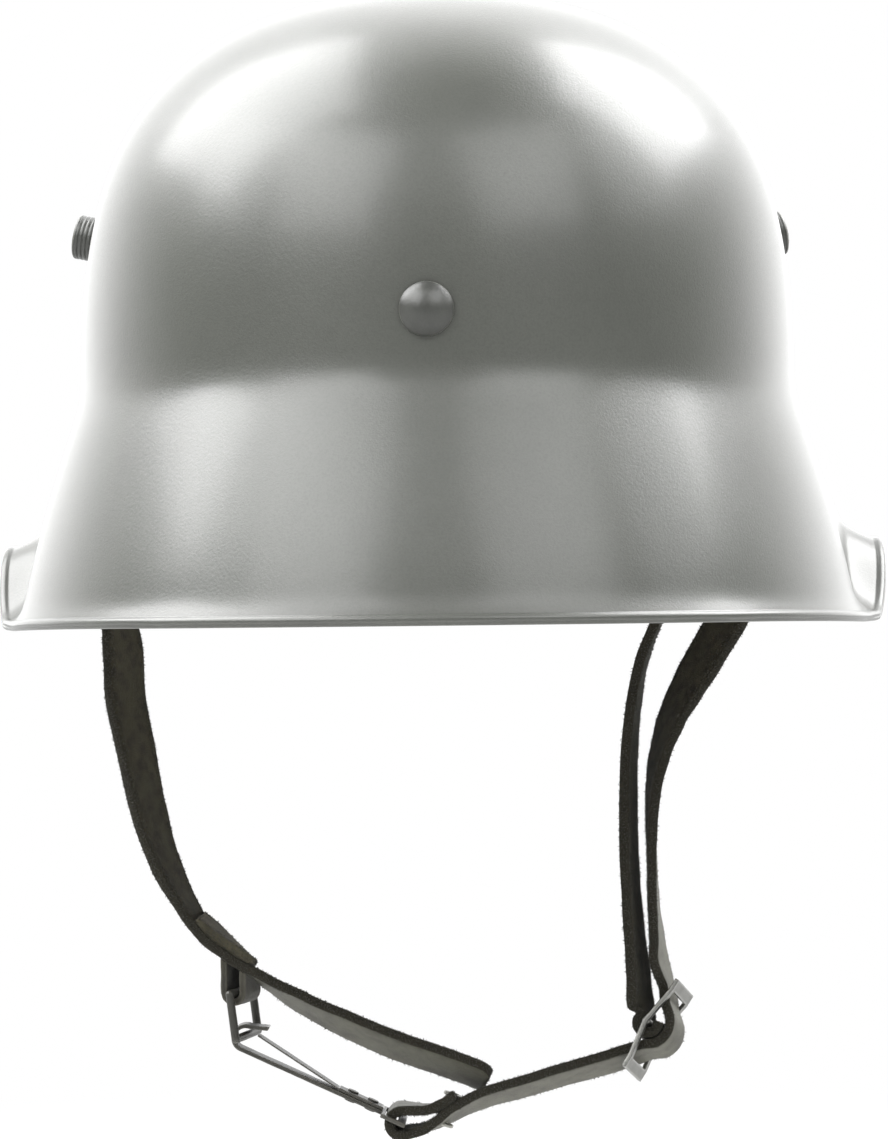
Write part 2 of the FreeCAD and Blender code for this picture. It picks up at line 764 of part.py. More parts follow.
def fold_stations(place_of_fold, radius, start_angle, end_angle):
    """Stations round a bar along the fold's own Y, by angle from its X towards its Z."""
    bar = place_of_fold.Rotation.multVec(Vector(0.0, 1.0, 0.0))
    stations = []
    for step in range(fold_steps + 1):
        angle = math.radians(start_angle + (end_angle - start_angle) * step / fold_steps)
        spot = Vector(radius * math.cos(angle), 0.0, radius * math.sin(angle))
        stations.append((place_of_fold.multVec(spot), bar))
    return stations


def twisted(along, twist):
    """The direction across a strap that runs along a direction, twisted about it."""
    inside = Vector(along.z, 0.0, -along.x)
    angle = math.radians(twist)
    return Vector(0.0, math.cos(angle), 0.0) + inside * math.sin(angle)


def strip(stations, width, thickness):
    """A flat strip of leather along stations, each with its twist or the bar that it lies on."""
    wires = []
    count = len(stations)
    for index, (point, lie) in enumerate(stations):
        before = stations[max(index - 1, 0)][0]
        after = stations[min(index + 1, count - 1)][0]
        along = (after - before).normalize()
        across = lie if isinstance(lie, Vector) else twisted(along, lie)
        upright = across.cross(along).normalize()
        half = across * (width / 2.0)
        deep = upright * (thickness / 2.0)
        corners = [point + half + deep, point - half + deep, point - half - deep, point + half - deep]
        wires.append(Part.makePolygon(corners + corners[:1]))
    return Part.makeLoft(wires, True, False)


def half_tube(inner, outer, width, angle):
    """Half of a tube lying along Y, its open side turned by an angle about Y."""
    start = Vector(0.0, -width / 2.0, 0.0)
    along = Vector(0.0, 1.0, 0.0)
    tube = Part.makeCylinder(outer, width, start, along).cut(Part.makeCylinder(inner, width, start, along))
    half = tube.common(box(Vector(-outer, -width, 0.0), Vector(outer, width, outer)))
    half.rotate(Vector(0.0, 0.0, 0.0), along, -angle)
    return half


def make_left_strap():
    """The left strap: sewn end, fold over the D ring, leg and free tail."""
    radius = dring_sag / 2.0 + dring_wire_radius + fold_slack + strap_thickness / 2.0
    centre = Vector(dring_x, 0.0, dring_low + dring_sag / 2.0)
    fold = fold_stations(FreeCAD.Placement(centre, FreeCAD.Rotation()), radius, 180.0, 0.0)
    stations = strap_stations(left_return_shares) + fold + strap_stations(left_leg_shares)
    return strip(stations, strap_width, strap_thickness)


def make_right_strap():
    """The right strap: clip fold, lower run, out round the buckle, over the D ring and back to the buckle."""
    clip_bar = FreeCAD.Placement(strap_point(*clip_bar_shares), FreeCAD.Rotation())
    clip_fold = fold_stations(clip_bar, clip_fold_radius, clip_fold_start, clip_fold_end)
    stations = strap_stations(clip_return_shares) + clip_fold + strap_stations(lower_run_shares)
    stations = stations + buckle_pass() + strap_stations(outer_leg_shares)
    stations = stations + strap_stations(right_crest_shares) + strap_stations(inner_leg_shares)
    slide = buckle_frame()
    quarter = FreeCAD.Rotation(Vector(0.0, 1.0, 0.0), 90.0)
    bar = FreeCAD.Placement(slide.Base, slide.Rotation.multiply(quarter))
    end_fold = fold_stations(bar, buckle_fold_radius, buckle_fold_start, buckle_fold_end)
    return strip(stations + end_fold, strap_width, strap_thickness)


def make_ring():
    """The rectangular wire ring that the clip hooks into, on its own centre line."""
    top = strap_point(*ring_top_shares)
    bottom = strap_point(*ring_bottom_shares)
    half = ring_width / 2.0
    height = (top - bottom).Length
    ring = None
    corners = [Vector(0.0, half, 0.0), Vector(0.0, -half, 0.0),
               Vector(0.0, -half, -height), Vector(0.0, half, -height)]
    for index in range(4):
        start = corners[index]
        end = corners[(index + 1) % 4]
        bar = Part.makeCylinder(ring_wire_radius, (end - start).Length, start, end - start)
        bar = bar.fuse(Part.makeSphere(ring_wire_radius, start))
        ring = bar if ring is None else ring.fuse(bar)
    ring = ring.removeSplitter()
    lean = math.degrees(math.atan2(bottom.x - top.x, top.z - bottom.z))
    turned = FreeCAD.Rotation(Vector(0.0, 1.0, 0.0), -lean)
    yawed = FreeCAD.Rotation(Vector(0.0, 0.0, 1.0), -ring_yaw)
    return placed(ring, FreeCAD.Placement(top, turned.multiply(yawed)))


def make_ring_loop(strap):
    """The leather loop that hangs the ring under the strap, trimmed to the strap's outer face."""
    top = strap_point(*ring_top_shares)
    inner = ring_wire_radius + fold_slack
    outer = inner + ring_loop_thickness
    side = ring_loop_width / 2.0
    loop = half_tube(inner, outer, ring_loop_width, 180.0)
    for start in (-outer, inner):
        low = Vector(start, -side, 0.0)
        loop = loop.fuse(box(low, Vector(start + ring_loop_thickness, side, ring_loop_reach)))
    loop = loop.removeSplitter()
    loop = placed(loop, FreeCAD.Placement(top, FreeCAD.Rotation(Vector(0.0, 0.0, 1.0), -ring_yaw)))
    pieces = loop.cut(strap).Solids
    return min(pieces, key=lambda piece: piece.CenterOfMass.z)


clip_floor = -clip_nose_radius - clip_thickness
clip_bar_height = clip_floor + clip_thickness / 2.0
clip_reach = (strap_point(*clip_bar_shares) - strap_point(*clip_nose_shares)).Length
clip_length = math.sqrt(clip_reach ** 2 - clip_bar_height ** 2)
gate_root = clip_length - clip_eye_length - clip_backing_length
gate_root_height = -clip_nose_radius + clip_backing_thickness / 2.0


def clip_frame():
    """Placement of the clip: X from its nose towards its bar, Z to its hook side."""
    nose = strap_point(*clip_nose_shares)
    reach = (strap_point(*clip_bar_shares) - nose).normalize()
    above = Vector(reach.z, 0.0, -reach.x)
    lean = math.asin(-clip_bar_height / clip_reach)
    along = reach * math.cos(lean) + above * math.sin(lean)
    hook = Vector(along.z, 0.0, -along.x)
    rotation = FreeCAD.Rotation(along, hook.cross(along), hook, "XZY")
    return FreeCAD.Placement(nose, rotation)


def make_clip_body():
    """The clip's hook: flat body, curled nose and lip, and an eye for the leather."""
    side = clip_width / 2.0
    top = clip_nose_radius + clip_thickness
    body = box(Vector(0.0, -side, clip_floor), Vector(clip_length - clip_eye_length, side, -clip_nose_radius))
    body = body.fuse(half_tube(clip_nose_radius, top, clip_width, 90.0))
    lip = [Vector(0.0, -side, clip_nose_radius),
           Vector(clip_lip_length, -side, clip_nose_radius + clip_lip_rise),
           Vector(clip_lip_length, -side, top + clip_lip_rise), Vector(0.0, -side, top)]
    body = body.fuse(Part.Face(Part.makePolygon(lip + lip[:1])).extrude(Vector(0.0, clip_width, 0.0)))
    half = clip_eye_width / 2.0
    start = clip_length - clip_eye_length
    end = clip_length + clip_bar_half
    eye = box(Vector(start, -half, clip_floor), Vector(end, half, clip_floor + clip_thickness))
    gap = strap_width / 2.0 + buckle_side_gap / 2.0
    slot_low = Vector(start + clip_bar_half, -gap, clip_floor)
    slot = box(slot_low, Vector(clip_length - clip_bar_half, gap, -clip_nose_radius))
    return body.fuse(eye.cut(slot)).removeSplitter()


def make_clip_backing():
    """The short plate that clamps the gate's leaf to the body."""
    half = clip_backing_width / 2.0
    low = Vector(gate_root + running_gap, -half, -clip_nose_radius)
    high = Vector(clip_length - clip_eye_length, half, -clip_nose_radius + clip_backing_thickness)
    return box(low, high)


def make_gate():
    """The sprung leaf that closes the hook."""
    half = gate_width / 2.0
    start = Vector(gate_tip_gap, 0.0, gate_tip_height)
    end = Vector(gate_root - running_gap, 0.0, gate_root_height)
    along = (end - start).normalize()
    up = Vector(-along.z, 0.0, along.x) * (gate_thickness / 2.0)
    side = Vector(0.0, half, 0.0)
    corners = [start - side - up, end - side - up, end - side + up, start - side + up]
    face = Part.Face(Part.makePolygon(corners + corners[:1]))
    return face.extrude(side * 2.0)


def make_clip_rivets():
    """Two rivets through the backing plate and the body."""
    rivets = []
    top = -clip_nose_radius + clip_backing_thickness
    for share in clip_rivet_shares:
        spot = gate_root + (clip_length - clip_eye_length - gate_root) * share
        shank = rod(clip_rivet_radius, clip_floor, top)
        upper = rod(clip_rivet_head_radius, top, top + clip_rivet_head_height)
        lower = rod(clip_rivet_head_radius, clip_floor - clip_rivet_head_height, clip_floor)
        rivet = shank.fuse(upper).fuse(lower)
        rivet.translate(Vector(spot, 0.0, 0.0))
        rivets.append(rivet)
    return rivets


def buckle_frame():
    """Placement of the buckle: X up its length, Y across the strap, Z outward."""
    centre = strap_point(*buckle_centre_shares)
    lean = math.radians(buckle_lean)
    pitch = math.radians(buckle_pitch)
    level = math.cos(pitch)
    along = Vector(-math.sin(lean) * level, -math.sin(pitch), math.cos(lean) * level)
    square = (Vector(0.0, 1.0, 0.0) - along * along.y).normalize()
    inside = square.cross(along)
    angle = math.radians(buckle_twist)
    across = square * math.cos(angle) + inside * math.sin(angle)
    return FreeCAD.Placement(centre, FreeCAD.Rotation(along, across, along.cross(across), "XZY"))


def buckle_pass():
    """Stations of the strap over the folded end on the centre bar and in behind the upper bar."""
    frame = buckle_frame()
    bar = frame.Rotation.multVec(Vector(0.0, 1.0, 0.0))
    radius = buckle_fold_radius + strap_thickness + fold_slack
    spots = []
    for turn in buckle_pass_turns:
        angle = math.radians(turn)
        spots.append(Vector(radius * math.sin(angle), 0.0, radius * math.cos(angle)))
    for along_share, out_share in buckle_exit_shares:
        spots.append(Vector(along_share * buckle_length / 2.0, 0.0, out_share * buckle_length / 2.0))
    return [(frame.multVec(spot), bar) for spot in spots]


def make_buckle():
    """A three-bar slide: two bowed side rails, two flat end bars and a round centre bar."""
    half = buckle_length / 2.0
    gap = strap_width / 2.0 + buckle_side_gap
    sheet = buckle_sheet / 2.0
    inner = half - buckle_end_bar_width
    profile = [Vector(-half, 0.0, buckle_bow - sheet), Vector(-inner, 0.0, buckle_bow - sheet),
               Vector(0.0, 0.0, -sheet), Vector(inner, 0.0, buckle_bow - sheet),
               Vector(half, 0.0, buckle_bow - sheet), Vector(half, 0.0, buckle_bow + sheet),
               Vector(inner, 0.0, buckle_bow + sheet), Vector(0.0, 0.0, sheet),
               Vector(-inner, 0.0, buckle_bow + sheet), Vector(-half, 0.0, buckle_bow + sheet)]
    face = Part.Face(Part.makePolygon(profile + profile[:1]))
    buckle = None
    for start in (gap, -gap - buckle_rail_width):
        rail = face.extrude(Vector(0.0, buckle_rail_width, 0.0))
        rail.translate(Vector(0.0, start, 0.0))
        buckle = rail if buckle is None else buckle.fuse(rail)
    for side in (-1.0, 1.0):
        ends = sorted((side * half, side * inner))
        bar = box(Vector(ends[0], -gap, buckle_bow - sheet), Vector(ends[1], gap, buckle_bow + sheet))
        buckle = buckle.fuse(bar)
    start = Vector(0.0, -gap - buckle_rail_width / 2.0, 0.0)
    reach = 2.0 * gap + buckle_rail_width
    centre_bar = Part.makeCylinder(buckle_centre_bar_radius, reach, start, Vector(0.0, 1.0, 0.0))
    return buckle.fuse(centre_bar).removeSplitter()


def make_stud():
    """The rivet that closes the leather fold at the clip."""
    main = strap_stations(lower_run_shares)
    back = strap_stations(clip_return_shares)
    lower = main[1][0] + (main[2][0] - main[1][0]) * stud_share
    upper = back[0][0] + (back[1][0] - back[0][0]) * stud_share
    along = (upper - lower).normalize()
    start = lower - along * (strap_thickness / 2.0 + stud_head_height)
    end = upper + along * (strap_thickness / 2.0 + stud_head_height)
    shank = Part.makeCylinder(stud_radius, (end - start).Length, start, along)
    low_head = Part.makeCylinder(stud_head_radius, stud_head_height, start, along)
    high_head = Part.makeCylinder(stud_head_radius, stud_head_height, end - along * stud_head_height, along)
    return shank.fuse(low_head).fuse(high_head)


# Shell, lugs and liner rivets
shell = make_shell()
left_lug_frame = fastener_place(90.0 - left_lug_turn, lug_height)
right_lug_frame = fastener_place(-90.0 + right_lug_turn, lug_height)
rivet_turns = {"rear": 180.0, "front_left": rivet_front_turn, "front_right": -rivet_front_turn}
rivet_frames = {name: rivet_frame(turn) for name, turn in rivet_turns.items()}
for frame in (left_lug_frame, right_lug_frame):
    shell = shell.cut(placed(rod(lug_shank_radius + running_gap, -through, through), frame))
band = make_band()
for frame in rivet_frames.values():
    hole = placed(rod(rivet_shank_radius + running_gap, -band_gap - through, through), frame)
    shell = shell.cut(hole)
    band = band.cut(hole)

save("left_vent_lug", placed(make_lug(left_lug_reach), left_lug_frame))
save("right_vent_lug", placed(make_lug(right_lug_reach), right_lug_frame))
save("left_lug_washer", placed(make_lug_washer(), left_lug_frame))
save("right_lug_washer", placed(make_lug_washer(), right_lug_frame))
for name, turn in rivet_turns.items():
    frame = rivet_frames[name]
    save(name + "_liner_rivet", placed(make_liner_rivet(turn, frame), frame))
    save(name + "_rivet_washer", placed(make_rivet_washer(turn, frame), frame))
save("shell", shell)

# Liner pads, their rivets, cushions and drawstring
pad_names = ("front", "rear_left", "rear_right")
leather_dome = make_leather_dome()
pads = {name: make_pad(turn, leather_dome) for name, turn in zip(pad_names, pad_turns)}
pad_rivets = []
pad_holes = []
for name, turn in zip(pad_names, pad_turns):
    for offset in pad_rivet_turns:
        frame = pad_rivet_place(turn + offset)
        pad_rivets.append(placed(make_pad_rivet(), frame))
        pad_holes.append(placed(rod(pad_rivet_radius, -through, through), frame))
tab_rivets = make_tab_rivets()
for hole in pad_holes:
    band = band.cut(hole)
left_tab = make_tab()
for rivet in tab_rivets:
    band = band.cut(rivet).cut(mirrored(rivet))
    left_tab = left_tab.cut(rivet)
save("liner_band", band)
tab_head_holes = make_tab_head_holes()
for name in pad_names:
    pad = pads[name].cut(Part.makeCompound(pad_holes + tab_head_holes))
    save(name + "_pad", pad)
    save(name + "_cushion", make_cushion(pad_turns[pad_names.index(name)]))
save("pad_rivets", Part.makeCompound(pad_rivets))
save("crown_cord", make_crown_cord())

# D rings and tabs
left_dring = make_dring()
save("left_dring", left_dring)
save("right_dring", mirrored(left_dring))
save("left_dring_tab", left_tab)
save("right_dring_tab", mirrored(left_tab))
save("tab_rivets", Part.makeCompound(tab_rivets + [mirrored(rivet) for rivet in tab_rivets]))

# Chin strap
left_strap = make_left_strap()
save("left_strap", left_strap)
save("strap_patch", strip(strap_stations(left_patch_shares), patch_width, patch_thickness).cut(left_strap))
save("ring_loop", make_ring_loop(left_strap))
save("hook_ring", make_ring())
right_strap = make_right_strap()
stud = make_stud()
save("right_strap", right_strap.cut(stud))
save("strap_stud", stud)
clip_place = clip_frame()
clip_rivets = make_clip_rivets()
clip_body = make_clip_body()
clip_backing = make_clip_backing()
for rivet in clip_rivets:
    clip_body = clip_body.cut(rivet)
    clip_backing = clip_backing.cut(rivet)
save("clip_body", placed(clip_body, clip_place))
save("clip_backing", placed(clip_backing, clip_place))
save("clip_gate", placed(make_gate(), clip_place))
save("clip_rivets", placed(Part.makeCompound(clip_rivets), clip_place))
save("buckle", placed(make_buckle(), buckle_frame()))

print("nodes", len(written))
print("dring x", round(dring_x, 2), "z", round(dring_z, 2), "low", round(dring_low, 2))
for name, frame in (("left lug", left_lug_frame), ("right lug", right_lug_frame)):
    axis = frame.Rotation.multVec(Vector(0.0, 0.0, 1.0))
    print(name, [round(value, 3) for value in frame.Base], [round(value, 4) for value in axis])
print("gate root", clip_place.multVec(Vector(gate_root, 0.0, gate_root_height)))
print("buckle centre", strap_point(*buckle_centre_shares), "ring top", strap_point(*ring_top_shares))
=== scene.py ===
# Steel combat helmet: satin painted shell, padded leather liner and leather chin strap
import bpy
import bmesh
import math
import numpy as np
from mathutils import Matrix, Vector, noise


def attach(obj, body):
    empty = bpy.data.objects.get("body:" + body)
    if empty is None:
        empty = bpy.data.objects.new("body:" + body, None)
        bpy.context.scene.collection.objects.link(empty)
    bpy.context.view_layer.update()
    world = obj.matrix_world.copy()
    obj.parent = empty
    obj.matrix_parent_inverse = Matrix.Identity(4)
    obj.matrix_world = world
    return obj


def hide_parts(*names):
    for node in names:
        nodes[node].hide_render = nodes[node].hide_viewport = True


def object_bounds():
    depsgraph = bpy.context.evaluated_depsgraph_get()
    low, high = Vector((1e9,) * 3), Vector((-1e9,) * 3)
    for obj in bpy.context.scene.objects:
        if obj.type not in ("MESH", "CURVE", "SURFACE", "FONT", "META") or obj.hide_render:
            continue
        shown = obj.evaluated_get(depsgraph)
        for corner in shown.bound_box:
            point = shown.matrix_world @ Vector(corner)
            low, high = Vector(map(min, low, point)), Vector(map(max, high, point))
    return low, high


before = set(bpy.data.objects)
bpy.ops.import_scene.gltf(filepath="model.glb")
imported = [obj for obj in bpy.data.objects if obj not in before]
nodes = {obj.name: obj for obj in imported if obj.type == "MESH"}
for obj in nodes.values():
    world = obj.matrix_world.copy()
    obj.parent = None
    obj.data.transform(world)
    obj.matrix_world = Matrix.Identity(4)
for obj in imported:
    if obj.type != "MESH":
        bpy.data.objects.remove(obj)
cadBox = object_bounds()
mm = 0.001
print("frame loaded:", len(nodes), "nodes")

plainWhite = (1, 1, 1, 1)


def linkedObject(name, data):
    obj = bpy.data.objects.new(name, data)
    bpy.context.scene.collection.objects.link(obj)
    return obj


def pieceOf(obj, node, body, material=None):
    # an object shown in a CAD node's place
    if material:
        obj.data.materials.append(material)
    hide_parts(node)
    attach(obj, body)
    return obj


def setSockets(tree, node, sockets):
    # each socket takes a plain value or a link from another node
    for label, value in sockets.items():
        if isinstance(value, bpy.types.NodeSocket):
            tree.links.new(value, node.inputs[label])
        else:
            node.inputs[label].default_value = value


def addNode(tree, kind, sockets=None, **options):
    node = tree.nodes.new(kind)
    for option, value in options.items():
        setattr(node, option, value)
    setSockets(tree, node, sockets or {})
    return node


def groupOf(name, kind, inputs, outputs):
    tree = bpy.data.node_groups.new(name, kind)
    for way, rows in (("INPUT", inputs), ("OUTPUT", outputs)):
        for label, socket in rows:
            tree.interface.new_socket(label, in_out=way, socket_type="NodeSocket" + socket)
    return tree, tree.nodes.new("NodeGroupInput"), tree.nodes.new("NodeGroupOutput")


def mathNode(tree, operation, a, b):
    clamped = operation in ("MULTIPLY", "SUBTRACT", "ADD")
    return addNode(tree, "ShaderNodeMath", {0: a, 1: b}, operation=operation, use_clamp=clamped).outputs[0]


def rampNode(tree, value, low, high, bottom=0.0, top=1.0):
    return addNode(tree, "ShaderNodeMapRange", {
        "Value": value, "From Min": low, "From Max": high, "To Min": bottom, "To Max": top},
        interpolation_type="SMOOTHSTEP").outputs[0]


def noiseNode(tree, vector, scale, detail=3.0, roughness=0.55):
    return addNode(tree, "ShaderNodeTexNoise", {
        "Vector": vector, "Scale": scale, "Detail": detail, "Roughness": roughness}).outputs["Fac"]


def colorMix(tree, share, first, second):
    first, second = [(*color, 1) if isinstance(color, tuple) else color for color in (first, second)]
    return addNode(tree, "ShaderNodeMix", {0: share, 6: first, 7: second}, data_type="RGBA").outputs[2]


def shaderMix(tree, share, first, second):
    return addNode(tree, "ShaderNodeMixShader", {0: share, 1: first, 2: second}).outputs[0]


def newMaterial(name):
    mat = bpy.data.materials.new(name)
    mat.use_nodes = True
    return mat, mat.node_tree, mat.node_tree.nodes["Principled BSDF"]


def objectCoords(tree):
    return addNode(tree, "ShaderNodeTexCoord").outputs["Object"]


def attributeNode(tree, name):
    return addNode(tree, "ShaderNodeAttribute", attribute_name=name).outputs["Fac"]


def bumpNode(tree, shader, height, strength, distance):
    node = addNode(tree, "ShaderNodeBump", {"Strength": strength, "Distance": distance * mm, "Height": height})
    tree.links.new(node.outputs["Normal"], shader.inputs["Normal"])


# Where the picture was taken from, and the plain studio round the object
studio = {
    "photoWidth": 888.0,
    "photoHeight": 1139.0,
    "focalPixels": 4312.0,
    "axisColumn": 440.9,
    "horizonRow": 604.0,
    "distance": 1.250,
    "cameraLevel": -0.0774,
    "yaw": -1.4,
    "roll": -0.65,
    "sensor": 36.0,
    "clip": (0.05, 60.0),
    "floorDrop": 0.045,
    "floorSize": 30.0,
    "floorColor": (0.86, 0.86, 0.85, 1),
    "floorRoughness": 0.9,
    "worldLight": 0.34,
    "roomGlow": 0.10,
    "roomEdges": (0.10, -1.0),
    "roomWhite": 2.4,
    "floorLitShare": 0.22,
    "floorFade": (0.25, 0.60),
    "softboxes": {   # azimuth from the camera's side, elevation, distance, size, watts
        "left": (99.0, 52.0, 1.4, 1.25, 36.0),
        "right": (-113.0, 48.0, 1.4, 0.95, 26.0),
        "top": (180.0, 66.0, 1.5, 1.1, 2.0),
        "frontLeft": (35.0, 38.0, 1.6, 0.95, 15.0),
        "frontRight": (-32.0, 39.0, 1.6, 0.95, 10.5),
        "sideLeft": (74.0, 36.0, 1.6, 0.80, 6.0),
        "sideRight": (-80.0, 36.0, 1.6, 0.80, 5.0),
    },
}


def makeCamera():
    s = studio
    cam = bpy.data.cameras.new("camera")
    cam.sensor_width = s["sensor"]
    cam.lens = s["focalPixels"] / s["photoHeight"] * s["sensor"]
    cam.shift_x = (s["photoWidth"] / 2 - s["axisColumn"]) / s["photoHeight"]
    cam.shift_y = (s["horizonRow"] - s["photoHeight"] / 2) / s["photoHeight"]
    cam.clip_start, cam.clip_end = s["clip"]
    obj = linkedObject("camera", cam)
    yaw = math.radians(s["yaw"])
    spot = Vector((s["distance"] * math.sin(yaw), s["distance"] * math.cos(yaw), s["cameraLevel"]))
    turn = Matrix.Rotation(math.pi - yaw, 4, "Z") @ Matrix.Rotation(math.pi / 2, 4, "X")
    obj.matrix_world = Matrix.Translation(spot) @ turn @ Matrix.Rotation(math.radians(s["roll"]), 4, "Z")
    bpy.context.scene.camera = obj


def whiteForCamera(tree, surface, litShare, fade):
    # camera, glossy and transmission rays see white; near the object litShare of the lit surface stays
    path = addNode(tree, "ShaderNodeLightPath").outputs
    seen = mathNode(tree, "MAXIMUM", path["Is Camera Ray"], path["Is Glossy Ray"])
    seen = mathNode(tree, "MAXIMUM", seen, path["Is Transmission Ray"])
    reach = addNode(tree, "ShaderNodeVectorMath", {0: objectCoords(tree)}, operation="LENGTH").outputs["Value"]
    share = mathNode(tree, "MULTIPLY", seen, rampNode(tree, reach, *fade, 1.0 - litShare))
    white = addNode(tree, "ShaderNodeEmission", {"Color": plainWhite})
    return shaderMix(tree, share, surface, white.outputs[0])


def makeStudio():
    s = studio
    scene = bpy.context.scene
    scene.view_settings.view_transform = "Standard"
    scene.world = bpy.data.worlds.new("studio")
    scene.world.use_nodes = True
    tree = scene.world.node_tree
    tree.nodes.clear()
    # camera rays see plain white; reflections see a white room that darkens behind the camera
    path = addNode(tree, "ShaderNodeLightPath").outputs
    way = addNode(tree, "ShaderNodeSeparateXYZ", {0: addNode(tree, "ShaderNodeTexCoord").outputs["Generated"]})
    glow = rampNode(tree, way.outputs["Y"], *s["roomEdges"], s["roomGlow"], s["roomWhite"])
    lit, room, white = [
        addNode(tree, "ShaderNodeBackground", {"Color": plainWhite, "Strength": strength}).outputs[0]
        for strength in (s["worldLight"], glow, 1.0)]
    sky = shaderMix(tree, path["Is Glossy Ray"], lit, room)
    sky = shaderMix(tree, path["Is Camera Ray"], sky, white)
    addNode(tree, "ShaderNodeOutputWorld", {"Surface": sky})
    for name, (azimuth, elevation, distance, size, watts) in s["softboxes"].items():
        lamp = bpy.data.lights.new(name + "Softbox", "AREA")
        lamp.shape = "SQUARE"
        lamp.size = size
        lamp.energy = watts
        obj = linkedObject(name + "Softbox", lamp)
        turn, rise = math.radians(azimuth), math.radians(elevation)
        way = Vector((math.sin(turn) * math.cos(rise), math.cos(turn) * math.cos(rise), math.sin(rise)))
        obj.location = way * distance
        obj.rotation_euler = way.to_track_quat("Z", "Y").to_euler()
    low = cadBox[0].z - s["floorDrop"]
    half = s["floorSize"] / 2
    mesh = bpy.data.meshes.new("floor")
    corners = [(-half, -half, low), (half, -half, low), (half, half, low), (-half, half, low)]
    mesh.from_pydata(corners, [], [(0, 1, 2, 3)])
    floor = linkedObject("floor", mesh)
    paper, tree, shader = newMaterial("studioFloor")
    setSockets(tree, shader, {"Base Color": s["floorColor"], "Roughness": s["floorRoughness"]})
    # seen from below, the paper is clear, so the inside of the helmet shows
    result = whiteForCamera(tree, shader.outputs[0], s["floorLitShare"], s["floorFade"])
    under = addNode(tree, "ShaderNodeNewGeometry").outputs["Backfacing"]
    clear = addNode(tree, "ShaderNodeBsdfTransparent").outputs[0]
    tree.links.new(shaderMix(tree, under, result, clear), tree.nodes["Material Output"].inputs["Surface"])
    mesh.materials.append(paper)


makeCamera()
makeStudio()
print("studio ready")

# Pressed shell, in millimetres, with heights above the rear rim
shell = {
    "halfWidth": 102.2,
    "halfLength": 120.0,
    "height": 180.0,
    "crease": 65.6,
    "seat": 83.0,
    "steel": 1.2,
    "planPower": 2.15,
    "risePower": 2.42,
    "dropPower": 2.95,
    "creaseSoftness": 2.2,
    "bulgePower": 1.25,
    "templeHalfWidth": 128.0,
    "neckHalfWidth": 121.5,
    "visorReach": 152.0,
    "neckReach": 147.0,
    "visorPlanPower": 2.5,
    "neckPlanPower": 2.2,
    "visorEdge": 42.0,
    "templeEdge": 20.5,
    "earDrop": 0.8,
    "earTurn": 95.0,
    "earFade": 50.0,
    "stepTurns": (77.0, 93.0),
    "wingTurns": (80.0, 104.0),
    "neckCurl": 1.5,
    "visorCurl": 3.0,
    "templeCurl": 7.0,
    "templeCurlTurn": 82.0,
    "templeCurlSpread": 13.0,
    "visorCurlTurn": 60.0,
    "visorCurlFade": 50.0,
    "curlHeight": 3.0,
    "curlSoftness": 1.3,
    "beadRadius": 1.5,
    "grooveDepth": 0.45,
    "grooveTurn": 62.0,
    "grooveSpread": 17.0,
    "turns": 300,
    "domeRows": 64,
    "skirtRows": 42,
    "innerRows": 52,
    "beadRows": 20,
    "domeCrowding": 1.35,
    "skirtCrowding": 1.5,
    "grooveWaves": 9.0,
    "grooveSway": 14.0,
    "directionStep": 0.001,
    "rippleHeight": 0.16,
    "ripples": ((14.0, 1.0, (4.1, 2.7, 9.3)), (38.0, 0.35, (1.3, 8.8, 0.4))),   # scale, share, offset
}


def smoothStep(share):
    share = min(1.0, max(0.0, share))
    return share * share * (3 - 2 * share)


def softened(length, softness):
    ratio = length / softness
    return softness * math.log1p(math.exp(ratio)) if ratio < 30 else length


def planRadius(turn, width, length, power):
    across = abs(math.sin(math.radians(turn))) / width
    along = abs(math.cos(math.radians(turn))) / length
    return (across ** power + along ** power) ** (-1 / power)


def sideTurn(turn):
    turn = abs(turn) % 360
    return 360 - turn if turn > 180 else turn


def rimRadius(turn):
    k = shell
    side = sideTurn(turn)
    wing = smoothStep((side - k["wingTurns"][0]) / (k["wingTurns"][1] - k["wingTurns"][0]))
    width = k["templeHalfWidth"] + (k["neckHalfWidth"] - k["templeHalfWidth"]) * wing
    if side < 90:
        return planRadius(side, width, k["visorReach"], k["visorPlanPower"])
    return planRadius(side, width, k["neckReach"], k["neckPlanPower"])


def rimHeight(turn):
    k = shell
    side = sideTurn(turn)
    first, last = k["stepTurns"]
    visor = k["visorEdge"] + (k["templeEdge"] - k["visorEdge"]) * smoothStep(side / first)
    ear = -k["earDrop"] * (1 - smoothStep((side - k["earTurn"]) / k["earFade"]))
    return visor + (ear - visor) * smoothStep((side - first) / (last - first))


def rimCurl(turn):
    k = shell
    side = sideTurn(turn)
    front = 1 - smoothStep((side - k["visorCurlTurn"]) / k["visorCurlFade"])
    temple = math.exp(-((side - k["templeCurlTurn"]) / k["templeCurlSpread"]) ** 2)
    return k["neckCurl"] + (k["visorCurl"] - k["neckCurl"]) * front + k["templeCurl"] * temple


